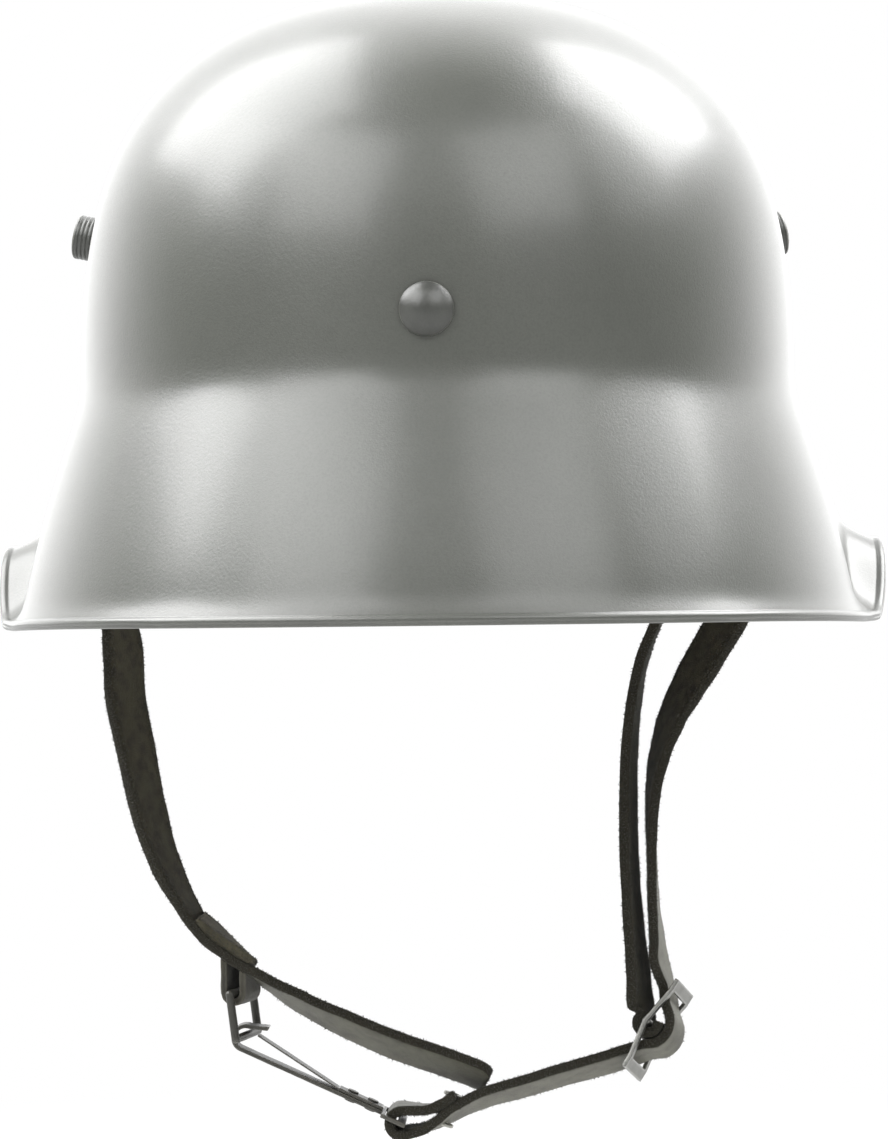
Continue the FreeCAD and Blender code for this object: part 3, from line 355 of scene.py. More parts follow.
def sectionPoint(turn, travel):
    # radius and height of the outer skin: travel 0 is the crown, 1 the crease, 2 the rim
    k = shell
    edge = rimHeight(turn) + 2 * k["beadRadius"]
    drop = k["crease"] - edge
    radius = planRadius(turn, k["halfWidth"], k["halfLength"], k["planPower"])
    height = k["crease"] - drop * (travel - 1)
    curl = rimCurl(turn)
    spread = rimRadius(turn) - radius - curl
    if travel <= 1:
        reach = math.sin(travel * math.pi / 2)
        rise = max(0.0, 1 - reach ** k["risePower"]) ** (1 / k["dropPower"])
        height = k["crease"] + (k["height"] - k["crease"]) * rise
        radius = radius * reach
    below = softened(k["crease"] - height, k["creaseSoftness"]) / softened(drop, k["creaseSoftness"])
    radius = radius + spread * (1 - (1 - min(1.0, below)) ** k["bulgePower"])
    near = softened(edge + k["curlHeight"] - height, k["curlSoftness"])
    near = near / softened(k["curlHeight"], k["curlSoftness"])
    return radius + curl * near, height


def sectionDirection(turn, travel):
    step = shell["directionStep"]
    if travel <= 2 * step:
        return 1.0, 0.0
    start = sectionPoint(turn, travel - step)
    end = sectionPoint(turn, travel)
    length = math.hypot(end[0] - start[0], end[1] - start[1])
    return (end[0] - start[0]) / length, (end[1] - start[1]) / length


def place(turn, radius, height):
    angle = math.radians(turn)
    return Vector((radius * math.sin(angle), -radius * math.cos(angle), height - shell["seat"])) * mm


def skinPoint(turn, travel, inset):
    radius, height = sectionPoint(turn, travel)
    along = sectionDirection(turn, travel)
    return place(turn, radius + inset * along[1], height - inset * along[0])


def beadPoint(turn, share):
    k = shell
    radius, height = sectionPoint(turn, 2.0)
    ax, az = sectionDirection(turn, 2.0)
    ox, oz = -az, ax
    half = k["steel"] / 2
    depth = math.sqrt(k["beadRadius"] ** 2 - half ** 2)
    lean = math.degrees(math.asin(depth / k["beadRadius"]))
    angle = -lean + share * (180 + 2 * lean)
    around = math.radians(turn)
    waves = k["grooveWaves"]
    wave = noise.noise(Vector((math.sin(around) * waves, math.cos(around) * waves, 3.0)))
    groove = math.exp(-((angle - k["grooveTurn"] - k["grooveSway"] * wave) / k["grooveSpread"]) ** 2)
    size = k["beadRadius"] - k["grooveDepth"] * groove
    cx = ax * depth - ox * half
    cz = az * depth - oz * half
    c, s = math.cos(math.radians(angle)), math.sin(math.radians(angle))
    return place(turn, radius + cx + (ox * c + ax * s) * size, height + cz + (oz * c + az * s) * size)


def ripple(point):
    # slow unevenness of hand-finished sheet
    total = sum(share * noise.noise(point * scale + Vector(offset)) for scale, share, offset in shell["ripples"])
    return total * shell["rippleHeight"]


def crowded(count, power):
    # shares from 0 to 1, closer together near 1
    return [1 - (1 - i / count) ** power for i in range(count + 1)]


def makeShell():
    k = shell
    outer, inner = [
        crowded(dome, k["domeCrowding"])[1:-1] + [1 + share for share in crowded(skirt, k["skirtCrowding"])]
        for dome, skirt in ((k["domeRows"], k["skirtRows"]), (k["innerRows"] // 2, k["innerRows"] // 2))]
    turns = [360.0 * i / k["turns"] for i in range(k["turns"])]
    rows = []
    for travel in outer:
        rows.append([skinPoint(t, travel, -ripple(skinPoint(t, travel, 0.0))) for t in turns])
    for i in range(1, k["beadRows"]):
        rows.append([beadPoint(t, i / k["beadRows"]) for t in turns])
    for travel in reversed(inner):
        rows.append([skinPoint(t, travel, k["steel"] - ripple(skinPoint(t, travel, 0.0))) for t in turns])
    points = [skinPoint(0.0, 0.0, 0.0)]
    for row in rows:
        points.extend(row)
    points.append(skinPoint(0.0, 0.0, k["steel"]))
    count = k["turns"]
    faces = []
    for i in range(count):
        j = (i + 1) % count
        faces.append((0, 1 + i, 1 + j))
        last = 1 + (len(rows) - 1) * count
        faces.append((len(points) - 1, last + j, last + i))
        for r in range(len(rows) - 1):
            a = 1 + r * count
            b = a + count
            faces.append((a + i, b + i, b + j, a + j))
    mesh = bpy.data.meshes.new("shellSkin")
    mesh.from_pydata(points, [], faces)
    mesh.polygons.foreach_set("use_smooth", [True] * len(mesh.polygons))
    return pieceOf(linkedObject("shellSkin", mesh), "shell", "helmet")


shellSkin = makeShell()
print("shell formed:", len(shellSkin.data.polygons), "faces")


# Pieces made from the CAD's own surfaces: softened edges, slight unevenness and a record of where they rub
fineScale = 240.0


def cadCopy(node, name):
    mesh = nodes[node].data.copy()
    mesh.transform(nodes[node].matrix_world)
    mesh.materials.clear()
    return linkedObject(name, mesh)


def settled(obj):
    # the object's mesh with its modifiers worked in
    graph = bpy.context.evaluated_depsgraph_get()
    mesh = bpy.data.meshes.new_from_object(obj.evaluated_get(graph))
    obj.modifiers.clear()
    obj.data = mesh
    mesh.polygons.foreach_set("use_smooth", [True] * len(mesh.polygons))
    return obj


def pointsOf(mesh):
    co = np.empty(len(mesh.vertices) * 3)
    mesh.vertices.foreach_get("co", co)
    return co.reshape(-1, 3)


def normalsOf(mesh):
    normal = np.empty(len(mesh.vertices) * 3)
    mesh.vertices.foreach_get("normal", normal)
    return normal.reshape(-1, 3)


def voxelled(obj, size):
    remesh = obj.modifiers.new("remesh", "REMESH")
    remesh.mode = "VOXEL"
    remesh.voxel_size = size * mm


def markWear(obj, reach, rounds):
    # vertices that stand out from their neighbours by reach or more are fully worn
    mesh = obj.data
    co = pointsOf(mesh)
    edges = np.empty(len(mesh.edges) * 2, dtype=np.int64)
    mesh.edges.foreach_get("vertices", edges)
    edges = edges.reshape(-1, 2)
    count = np.zeros(len(co))
    np.add.at(count, edges[:, 0], 1)
    np.add.at(count, edges[:, 1], 1)
    count = np.maximum(count, 1)

    def spread(values):
        total = np.zeros_like(values)
        np.add.at(total, edges[:, 0], values[edges[:, 1]])
        np.add.at(total, edges[:, 1], values[edges[:, 0]])
        return total / (count[:, None] if values.ndim > 1 else count)

    mean = co
    for _ in range(rounds):
        mean = spread(mean)
    bulge = ((co - mean) * normalsOf(mesh)).sum(axis=1)
    wear = np.clip(bulge / (reach * mm), 0, 1)
    wear = (wear + spread(wear)) / 2
    mesh.attributes.new("wear", "FLOAT", "POINT").data.foreach_set("value", wear)


def unevenness(obj, height, scale, seed):
    mesh = obj.data
    co = pointsOf(mesh)
    shift = Vector((seed * 1.7, seed * 0.9, seed * 2.3))
    lift = np.array([noise.noise(Vector(p) * scale + shift) for p in co])
    co = co + normalsOf(mesh) * (lift * height * mm)[:, None]
    mesh.vertices.foreach_set("co", co.ravel())
    mesh.update()


def refined(node, name, body, material, voxel, smooth, wearReach, wearRounds, bumpy):
    obj = cadCopy(node, name)
    voxelled(obj, voxel)
    even = obj.modifiers.new("even", "SMOOTH")
    even.factor = 0.5
    even.iterations = smooth
    settled(obj)
    if bumpy:
        unevenness(obj, bumpy, fineScale, len(name))
    markWear(obj, wearReach, wearRounds)
    return pieceOf(obj, node, body, material)


# Finishes; the noises of a mottle are its amount, its scale and its grain's scale
patterns = {
    "broadNoise": (5.0, 0.62),
    "broadEdges": (0.38, 0.72),
    "grainNoise": (4.0, 0.7),
    "grainEdges": (0.4, 0.68),
    "speckNoise": (2.0, 0.6),
    "speckEdges": (0.70, 0.78),
    "rubScale": 160.0,
    "rubEdges": (0.25, 0.6),
    "paintDepth": 0.3,
    "metalDepth": 0.15,
    "polish": 0.7,
    "fleshMottle": (0.85, 260.0, 2600.0),
    "faceMottle": (0.8, 170.0, 1300.0),
    "cutEdges": (0.15, 0.8),
    "crackScale": 420.0,
    "crackEdges": (0.0, 0.06),
    "crackShare": 0.35,
    "faceSmoothness": 0.8,
    "strapBump": (0.9, 0.5),
    "strapSpecular": 0.3,
    "strapSheen": 0.05,
    "clothMottle": (0.5, 60.0, 1800.0),
    "weaveDistortion": 1.2,
    "weaveDetailScale": 3.0,
    "weaveShare": 0.25,
    "clothRoughness": 0.95,
    "clothSheen": 0.3,
    "clothBump": (0.5, 0.3),
}


def makeMottleGroup():
    # uneven tone and fine grain, for every finish
    tree, start, end = groupOf("mottle", "ShaderNodeTree", (
        ("Vector", "Vector"), ("Color", "Color"), ("Dark", "Color"), ("Amount", "Float"), ("Scale", "Float"),
        ("Grain Scale", "Float")), (("Color", "Color"), ("Height", "Float")))
    given = start.outputs
    broad = noiseNode(tree, given["Vector"], given["Scale"], *patterns["broadNoise"])
    share = mathNode(tree, "MULTIPLY", rampNode(tree, broad, *patterns["broadEdges"]), given["Amount"])
    setSockets(tree, end, {
        "Color": colorMix(tree, share, given["Color"], given["Dark"]),
        "Height": noiseNode(tree, given["Vector"], given["Grain Scale"], *patterns["grainNoise"])})
    return tree


mottleGroup = makeMottleGroup()


def mottled(tree, vector, color, dark, amount, scale, grainScale):
    outputs = addNode(tree, "ShaderNodeGroup", {
        "Vector": vector, "Color": (*color, 1), "Dark": (*dark, 1), "Amount": amount, "Scale": scale,
        "Grain Scale": grainScale}, node_tree=mottleGroup).outputs
    return outputs["Color"], outputs["Height"]


def mottledBy(tree, vector, k):
    return mottled(tree, vector, k["color"], k["dark"], k["cloud"], k["cloudScale"], k["grainScale"])


def blendNode(tree, share, first, last):
    return addNode(tree, "ShaderNodeMapRange", {"Value": share, "To Min": first, "To Max": last}).outputs[0]


def makePaint(name, k):
    # satin field paint: grain, faint darker clouds, rubbed edges where the wear attribute says
    mat, tree, shader = newMaterial(name)
    p = patterns
    vector = objectCoords(tree)
    color, grain = mottledBy(tree, vector, k)
    grainy = mathNode(tree, "MULTIPLY", rampNode(tree, grain, *p["grainEdges"]), k["grain"])
    color = colorMix(tree, grainy, color, k["dark"])
    speck = rampNode(tree, noiseNode(tree, vector, k["speckScale"], *p["speckNoise"]), *p["speckEdges"])
    color = colorMix(tree, mathNode(tree, "MULTIPLY", speck, k["speck"]), color, k["dark"])
    rub = mathNode(tree, "MULTIPLY", attributeNode(tree, "wear"), noiseNode(tree, vector, p["rubScale"]))
    rub = mathNode(tree, "MULTIPLY", rampNode(tree, rub, *p["rubEdges"]), k["rub"])
    setSockets(tree, shader, {
        "Base Color": colorMix(tree, rub, color, k["rubColor"]), "Roughness": k["roughness"],
        "Specular IOR Level": k["specular"], "Coat Weight": k["coat"], "Coat Roughness": k["coatRoughness"]})
    bumpNode(tree, shader, grain, k["bump"], p["paintDepth"])
    return mat


def makeMetal(name, k):
    mat, tree, shader = newMaterial(name)
    wear = mathNode(tree, "MULTIPLY", attributeNode(tree, "wear"), 1.0)
    color, grain = mottledBy(tree, objectCoords(tree), k)
    setSockets(tree, shader, {
        "Base Color": colorMix(tree, mathNode(tree, "MULTIPLY", wear, k["shine"]), color, k["bright"]),
        "Roughness": blendNode(tree, wear, k["roughness"], k["roughness"] * patterns["polish"]),
        "Metallic": k["metallic"]})
    bumpNode(tree, shader, grain, k["bump"], patterns["metalDepth"])
    return mat


def makeStrapLeather(name, k):
    # grain face, rough flesh face and dark cut edges, told apart by the strip's own attributes
    mat, tree, shader = newMaterial(name)
    p = patterns
    vector = objectCoords(tree)
    flesh, fibre = mottled(tree, vector, k["flesh"], k["fleshDark"], *p["fleshMottle"])
    face, _ = mottled(tree, vector, k["grain"], k["grainDark"], *p["faceMottle"])
    side = attributeNode(tree, "grainSide")
    edge = rampNode(tree, attributeNode(tree, "cutEdge"), *p["cutEdges"])
    color = colorMix(tree, edge, colorMix(tree, side, flesh, face), k["edge"])
    cells = addNode(tree, "ShaderNodeTexVoronoi", {"Vector": vector, "Scale": p["crackScale"]},
                    feature="DISTANCE_TO_EDGE")
    line = mathNode(tree, "SUBTRACT", 1.0, rampNode(tree, cells.outputs["Distance"], *p["crackEdges"]))
    cracked = mathNode(tree, "MULTIPLY", line, mathNode(tree, "MULTIPLY", side, p["crackShare"]))
    rough = mathNode(tree, "SUBTRACT", 1.0, mathNode(tree, "MULTIPLY", side, p["faceSmoothness"]))
    setSockets(tree, shader, {
        "Base Color": colorMix(tree, cracked, color, k["grainDark"]),
        "Roughness": blendNode(tree, side, k["fleshRoughness"], k["grainRoughness"]),
        "Specular IOR Level": p["strapSpecular"], "Sheen Weight": p["strapSheen"]})
    bumpNode(tree, shader, mathNode(tree, "MULTIPLY", fibre, rough), *p["strapBump"])
    return mat


def makePlainLeather(name, k):
    mat, tree, shader = newMaterial(name)
    color, grain = mottledBy(tree, objectCoords(tree), k)
    rub = mathNode(tree, "MULTIPLY", attributeNode(tree, "wear"), k["rub"])
    setSockets(tree, shader, {
        "Base Color": colorMix(tree, rub, color, k["rubColor"]), "Roughness": k["roughness"],
        "Sheen Weight": k["sheen"]})
    bumpNode(tree, shader, grain, k["bump"], k["depth"])
    return mat


def makeCloth(name, k):
    # plain weave from two crossed waves
    mat, tree, shader = newMaterial(name)
    p = patterns
    vector = objectCoords(tree)
    color, _ = mottled(tree, vector, k["color"], k["dark"], *p["clothMottle"])
    waves = [addNode(tree, "ShaderNodeTexWave", {
        "Vector": vector, "Scale": k["threads"], "Distortion": p["weaveDistortion"],
        "Detail Scale": p["weaveDetailScale"]}, bands_direction=axis).outputs["Fac"] for axis in ("X", "Z")]
    weave = mathNode(tree, "MULTIPLY", *waves)
    share = mathNode(tree, "MULTIPLY", weave, p["weaveShare"])
    setSockets(tree, shader, {
        "Base Color": colorMix(tree, share, color, k["bright"]), "Roughness": p["clothRoughness"],
        "Sheen Weight": p["clothSheen"]})
    bumpNode(tree, shader, weave, *p["clothBump"])
    return mat


finish = {
    "shell": {"color": (0.068, 0.071, 0.062), "dark": (0.046, 0.048, 0.042), "cloud": 0.35, "cloudScale": 26.0,
        "grainScale": 1500.0, "speckScale": 520.0, "speck": 0.55, "rub": 0.5, "rubColor": (0.16, 0.165, 0.145),
        "roughness": 0.34, "specular": 0.60, "bump": 0.30, "grain": 0.5, "coat": 0.45, "coatRoughness": 0.22},
    # lugs and rivet heads: the shell's own paint, darkened as painted shade for their shaded look
    "lug": {"color": (0.042, 0.044, 0.038), "dark": (0.020, 0.021, 0.018), "cloud": 0.6, "cloudScale": 140.0,
        "grainScale": 1600.0, "speckScale": 700.0, "speck": 0.6, "rub": 0.7, "rubColor": (0.15, 0.15, 0.13),
        "roughness": 0.40, "specular": 0.6, "bump": 0.3, "grain": 0.3, "coat": 0.5, "coatRoughness": 0.28},
    "band": {"color": (0.060, 0.062, 0.055), "dark": (0.025, 0.026, 0.024), "cloud": 0.6, "cloudScale": 60.0,
        "grainScale": 1200.0, "speckScale": 400.0, "speck": 0.5, "rub": 0.6, "rubColor": (0.20, 0.20, 0.18),
        "roughness": 0.6, "specular": 0.4, "bump": 0.2, "grain": 0.3, "coat": 0.0, "coatRoughness": 0.3},
    "bare": {"color": (0.26, 0.26, 0.25), "dark": (0.10, 0.09, 0.08), "bright": (0.50, 0.50, 0.48),
        "cloud": 0.6, "cloudScale": 220.0, "grainScale": 1500.0, "shine": 0.5, "metallic": 0.9,
        "roughness": 0.42, "bump": 0.2},
    "ring": {"color": (0.026, 0.025, 0.021), "dark": (0.012, 0.011, 0.009), "bright": (0.26, 0.26, 0.23),
        "cloud": 0.6, "cloudScale": 300.0, "grainScale": 1800.0, "shine": 0.2, "metallic": 0.15,
        "roughness": 0.45, "bump": 0.3},
    "clip": {"color": (0.022, 0.021, 0.017), "dark": (0.010, 0.009, 0.007), "bright": (0.30, 0.29, 0.25),
        "cloud": 0.7, "cloudScale": 240.0, "grainScale": 1500.0, "shine": 0.2, "metallic": 0.1,
        "roughness": 0.50, "bump": 0.3},
    # buckle: the bare steel's own tone, darkened as painted shade standing in for the shadow on its side bars
    "buckle": {"color": (0.21, 0.21, 0.195), "dark": (0.09, 0.09, 0.08), "bright": (0.45, 0.45, 0.43),
        "cloud": 0.5, "cloudScale": 200.0, "grainScale": 1500.0, "shine": 0.5, "metallic": 0.85,
        "roughness": 0.38, "bump": 0.2},
    "stud": {"color": (0.30, 0.30, 0.27), "dark": (0.14, 0.13, 0.11), "bright": (0.55, 0.55, 0.50),
        "cloud": 0.6, "cloudScale": 300.0, "grainScale": 1600.0, "shine": 0.5, "metallic": 0.8,
        "roughness": 0.45, "bump": 0.25},
    "strap": {"flesh": (0.037, 0.034, 0.019), "fleshDark": (0.012, 0.010, 0.006),
        "grain": (0.080, 0.079, 0.057), "grainDark": (0.030, 0.028, 0.018), "edge": (0.020, 0.018, 0.011),
        "fleshRoughness": 0.95, "grainRoughness": 0.55},
    "loop": {"color": (0.030, 0.028, 0.018), "dark": (0.012, 0.010, 0.008), "cloud": 0.7, "cloudScale": 200.0,
        "grainScale": 2000.0, "rub": 0.5, "rubColor": (0.10, 0.095, 0.075), "roughness": 0.8, "sheen": 0.15,
        "bump": 0.7, "depth": 0.4},
    "suede": {"color": (0.080, 0.072, 0.044), "dark": (0.030, 0.026, 0.015), "cloud": 0.7, "cloudScale": 260.0,
        "grainScale": 3200.0, "rub": 0.3, "rubColor": (0.10, 0.09, 0.065), "roughness": 1.0, "sheen": 0.15,
        "bump": 1.0, "depth": 0.5},
    "pad": {"color": (0.300, 0.185, 0.095), "dark": (0.150, 0.085, 0.040), "cloud": 0.6, "cloudScale": 45.0,
        "grainScale": 1300.0, "rub": 0.5, "rubColor": (0.42, 0.29, 0.17), "roughness": 0.62, "sheen": 0.1,
        "bump": 0.5, "depth": 0.4},
    "cloth": {"color": (0.40, 0.36, 0.28), "dark": (0.24, 0.21, 0.15), "bright": (0.52, 0.48, 0.40),
        "threads": 260.0},
    "cord": {"color": (0.50, 0.44, 0.33), "dark": (0.28, 0.24, 0.17), "bright": (0.60, 0.55, 0.45),
        "threads": 500.0},
    "thread": {"color": (0.20, 0.18, 0.13), "dark": (0.10, 0.09, 0.06), "bright": (0.30, 0.27, 0.20),
        "threads": 900.0},
}

fieldPaint = makePaint("fieldPaint", finish["shell"])
lugPaint = makePaint("lugPaint", finish["lug"])
bandPaint = makePaint("bandPaint", finish["band"])
bareSteel = makeMetal("bareSteel", finish["bare"])
ringSteel = makeMetal("ringSteel", finish["ring"])
clipSteel = makeMetal("clipSteel", finish["clip"])
# the buckle's base colour carries painted shade: darker than its bare steel, for the shadow on its side bars
shadedBuckleSteel = makeMetal("shadedBuckleSteel", finish["buckle"])
studSteel = makeMetal("studSteel", finish["stud"])
strapLeather = makeStrapLeather("strapLeather", finish["strap"])
loopLeather = makePlainLeather("loopLeather", finish["loop"])
suedeLeather = makePlainLeather("suedeLeather", finish["suede"])
padLeather = makePlainLeather("padLeather", finish["pad"])
cushionCloth = makeCloth("cushionCloth", finish["cloth"])
cordCotton = makeCloth("cordCotton", finish["cord"])
threadCotton = makeCloth("threadCotton", finish["thread"])
shellSkin.data.materials.append(fieldPaint)
for material, dressed in (
        (bareSteel, ("left_lug_washer", "right_lug_washer", "rear_rivet_washer", "front_left_rivet_washer",
                     "front_right_rivet_washer", "pad_rivets", "tab_rivets")),
        (bandPaint, ("liner_band", "left_dring_tab", "right_dring_tab")),
        (cordCotton, ("crown_cord",))):
    for node in dressed:
        nodes[node].data.materials.clear()
        nodes[node].data.materials.append(material)
print("finishes ready")

# Steel fittings
fittings = {}
for node, name, body, slotName, material, voxel, smooth, reach, bumpy in (
        ("buckle", "slideBuckle", "buckle_body", "buckle_steel", shadedBuckleSteel, 0.24, 2, 0.05, 0.03),
        ("clip_body", "clipHook", "right_chinstrap", "clip_steel", clipSteel, 0.22, 2, 0.05, 0.05),
        ("clip_backing", "clipPlate", "right_chinstrap", "clip_steel", clipSteel, 0.20, 2, 0.05, 0.04),
        ("clip_gate", "clipLeaf", "clip_gate_body", "clip_steel", clipSteel, 0.14, 1, 0.03, 0.02),
        ("clip_rivets", "clipRivetHeads", "right_chinstrap", "clip_steel", clipSteel, 0.13, 2, 0.04, 0.03),
        ("hook_ring", "wireRing", "hook_ring_body", "ring_steel", ringSteel, 0.20, 2, 0.06, 0.05),
        ("left_dring", "leftWireD", "left_dring_body", "ring_steel", ringSteel, 0.22, 2, 0.06, 0.04),
        ("right_dring", "rightWireD", "right_dring_body", "ring_steel", ringSteel, 0.22, 2, 0.06, 0.04),
        ("strap_stud", "studHeads", "right_chinstrap", "stud_steel", studSteel, 0.16, 3, 0.05, 0.05),
        ("ring_loop", "ringLoopLeather", "left_chinstrap", "strap_leather", loopLeather, 0.28, 3, 0.08, 0.20),
        # rivet heads and lugs take the shell's paint darkened as painted shade
        ("rear_liner_rivet", "rearRivetHead", "helmet", "lug_paint", lugPaint, 0.22, 2, 0.05, 0.05),
        ("front_left_liner_rivet", "frontLeftRivetHead", "helmet", "lug_paint", lugPaint, 0.25, 2, 0.05, 0.05),
        ("front_right_liner_rivet", "frontRightRivetHead", "helmet", "lug_paint", lugPaint, 0.25, 2, 0.05, 0.05),
        ("left_vent_lug", "leftLugTurned", "helmet", "lug_paint", lugPaint, 0.22, 1, 0.05, 0.04),
        ("right_vent_lug", "rightLugTurned", "helmet", "lug_paint", lugPaint, 0.22, 1, 0.05, 0.04)):
    fittings[node] = refined(node, name, body, material, voxel, smooth, reach, 4, bumpy)

# Fine rings left by turning on the lugs' sides: base, axis and how far each stands out, in millimetres
lugs = {
    "left_vent_lug": ((97.635, -21.645, 30.5), (0.971, -0.1216, 0.2059), 9.5),
    "right_vent_lug": ((-96.109, -31.228, 30.5), (-0.9603, -0.1867, 0.2074), 6.0),
    "wall": 5.9,
    "inset": 0.9,
    "pitch": 1.25,
    "depth": 0.17,
}


def turnedRings(obj, base, axis, reach):
    k = lugs
    co = pointsOf(obj.data) / mm
    away = co - np.array(base)
    way = np.array(axis)
    height = away @ way
    out = away - height[:, None] * way
    radius = np.linalg.norm(out, axis=1)
    on = (radius > k["wall"]) & (height > k["inset"]) & (height < reach - k["inset"])
    cut = k["depth"] * np.maximum(0, np.cos(2 * math.pi * height / k["pitch"])) * on
    co = co - out / np.maximum(radius, 1e-6)[:, None] * cut[:, None]
    obj.data.vertices.foreach_set("co", (co * mm).ravel())
    obj.data.update()


for name in ("left_vent_lug", "right_vent_lug"):
    turnedRings(fittings[name], *lugs[name])
print("fittings refined")

# Chin strap, swept along the CAD's own line
strap = {
    "dringX": 97.7,
    "dringLow": -57.0,
    "dringRadius": 14.0,
    "dringWire": 1.3,
    "reachShare": 0.968,
    "drop": 172.0,
    "width": 16.0,
    "thickness": 2.8,
    "slack": 0.6,
    "foldSteps": 6,
    "patchWidth": 15.0,
    "patchThickness": 2.0,
    "patchSwell": 1.3,
    "corner": 0.55,
    "step": 0.8,
    "flatPoints": 9,
    "flatEndCut": 0.35,
    "cornerCut": 0.8,
    "edgeWave": 0.22,
    "edgeScale": 0.09,
    "raggedShare": 0.5,
    "raggedScale": 0.9,
    "faceWave": 0.12,
    "faceScale": 0.16,
    "endDepth": 0.6,
    "endLeast": 0.05,
    "suedeWave": 0.35,
    "suedeScale": 220,
    "leftReturnShares": ((0.969, 0.115, 22.0), (0.984, 0.078, 15.0), (0.990, 0.035, 8.0)),
    "leftLegShares": (
        (1.061, 0.035, -6.0), (1.026, 0.080, -14.0), (0.993, 0.134, -25.0), (0.978, 0.190, -33.0),
        (0.972, 0.270, -33.0), (0.943, 0.355, -31.0), (0.906, 0.459, -27.0), (0.856, 0.550, -20.0),
        (0.787, 0.626, -10.0), (0.735, 0.671, -4.0), (0.658, 0.711, 3.0), (0.560, 0.748, 11.0),
        (0.437, 0.789, 20.0), (0.296, 0.828, 26.0), (0.149, 0.863, 28.0), (0.014, 0.889, 28.0),
        (-0.090, 0.911, 28.0), (-0.128, 0.921, 28.0)),
    "patchShares": (
        (0.752, 0.642, -6.0), (0.721, 0.663, -4.0), (0.687, 0.682, -1.0), (0.645, 0.700, 3.0),
        (0.606, 0.715, 6.0), (0.582, 0.723, 9.0)),
    "clipReturnShares": ((-0.036, 0.9505, -14.0), (0.010, 0.964, -11.0), (0.066, 0.970, -4.0)),
    "clipBarShares": (0.1364, 0.9884),
    "clipFoldRadius": 3.6,
    "clipFoldTurns": (75.0, -75.0),
    "lowerRunShares": (
        (0.074, 1.003, 3.0), (0.030, 0.993, 9.0), (-0.029, 0.973, 15.0), (-0.124, 0.950, 19.0),
        (-0.232, 0.934, 20.0), (-0.370, 0.912, 21.0), (-0.492, 0.894, 22.0), (-0.570, 0.8805, 22.0)),
    "buckleExitShares": ((0.53, 0.07), (0.735, -0.094)),
    "outerLegShares": (
        (-0.655, 0.720, 12.0), (-0.650, 0.680, 8.0), (-0.642, 0.634, 4.0), (-0.638, 0.558, 2.0),
        (-0.638, 0.483, -2.0), (-0.645, 0.432, -6.0), (-0.664, 0.378, -12.0), (-0.704, 0.314, -20.0),
        (-0.744, 0.272, -27.0), (-0.799, 0.220, -33.0), (-0.870, 0.156, -34.0), (-0.942, 0.092, -24.0),
        (-1.006, 0.046, -12.0)),
    "crestShares": (
        (-1.058, 0.018, -4.0), (-1.079, -0.006, 0.0), (-1.073, -0.027, 0.0), (-1.034, -0.039, 0.0),
        (-0.985, -0.037, 0.0), (-0.930, -0.021, 0.0)),
    "innerLegShares": (
        (-0.868, 0.009, 0.0), (-0.775, 0.060, -1.0), (-0.702, 0.109, -2.0), (-0.652, 0.162, -4.0),
        (-0.612, 0.221, -6.0), (-0.588, 0.289, -8.0), (-0.573, 0.366, -10.0), (-0.567, 0.478, -11.0),
        (-0.570, 0.580, -12.0), (-0.581, 0.673, -14.0), (-0.592, 0.745, -18.0), (-0.597, 0.790, -21.0)),
    "buckleCentreShares": (-0.634, 0.835),
    "buckleLean": 33.0,
    "bucklePitch": 8.0,
    "buckleTwist": 20.0,
    "buckleLength": 29.5,
    "buckleFoldRadius": 3.2,
    "buckleFoldTurns": (20.0, -210.0),
    "bucklePassTurns": (-68.0, -34.0, 0.0, 34.0),
}
level = Matrix.Identity(3)


def strapPoint(across, down):
    k = strap
    return Vector((across * k["reachShare"] * k["dringX"], 0, k["dringLow"] - down * k["drop"]))


def rowsOf(shares):
    return [(strapPoint(row[0], row[1]), row[2]) for row in shares]


def foldRows(centre, turned, radius, turns):
    rows = []
    count = strap["foldSteps"]
    for i in range(count + 1):
        angle = math.radians(turns[0] + (turns[1] - turns[0]) * i / count)
        spot = Vector((radius * math.cos(angle), 0, radius * math.sin(angle)))
        rows.append((centre + turned @ spot, turned @ Vector((0, 1, 0))))
    return rows


def buckleAxes():
    k = strap
    lean = math.radians(k["buckleLean"])
    pitch = math.radians(k["bucklePitch"])
    flat = math.cos(pitch)
    along = Vector((-math.sin(lean) * flat, -math.sin(pitch), math.cos(lean) * flat))
    square = (Vector((0, 1, 0)) - along * along.y).normalized()
    angle = math.radians(k["buckleTwist"])
    across = square * math.cos(angle) + square.cross(along) * math.sin(angle)
    return Matrix((along, across, along.cross(across))).transposed()


def leftLine():
    k = strap
    sag = k["dringRadius"] - math.sqrt(k["dringRadius"] ** 2 - (k["width"] / 2) ** 2)
    radius = sag / 2 + k["dringWire"] + k["slack"] + k["thickness"] / 2
    centre = Vector((k["dringX"], 0, k["dringLow"] + sag / 2))
    return rowsOf(k["leftReturnShares"]) + foldRows(centre, level, radius, (180, 0)) + rowsOf(k["leftLegShares"])


def rightLine():
    k = strap
    rows = rowsOf(k["clipReturnShares"])
    rows += foldRows(strapPoint(*k["clipBarShares"]), level, k["clipFoldRadius"], k["clipFoldTurns"])
    rows += rowsOf(k["lowerRunShares"])
    axes = buckleAxes()
    centre = strapPoint(*k["buckleCentreShares"])
    bar = axes @ Vector((0, 1, 0))
    radius = k["buckleFoldRadius"] + k["thickness"] + k["slack"]
    for turn in k["bucklePassTurns"]:
        angle = math.radians(turn)
        rows.append((centre + axes @ Vector((radius * math.sin(angle), 0, radius * math.cos(angle))), bar))
    for along, out in k["buckleExitShares"]:
        spot = Vector((along * k["buckleLength"] / 2, 0, out * k["buckleLength"] / 2))
        rows.append((centre + axes @ spot, bar))
    rows += rowsOf(k["outerLegShares"]) + rowsOf(k["crestShares"]) + rowsOf(k["innerLegShares"])
    quarter = Matrix.Rotation(math.pi / 2, 3, "Y")
    return rows + foldRows(centre, axes @ quarter, k["buckleFoldRadius"], k["buckleFoldTurns"])


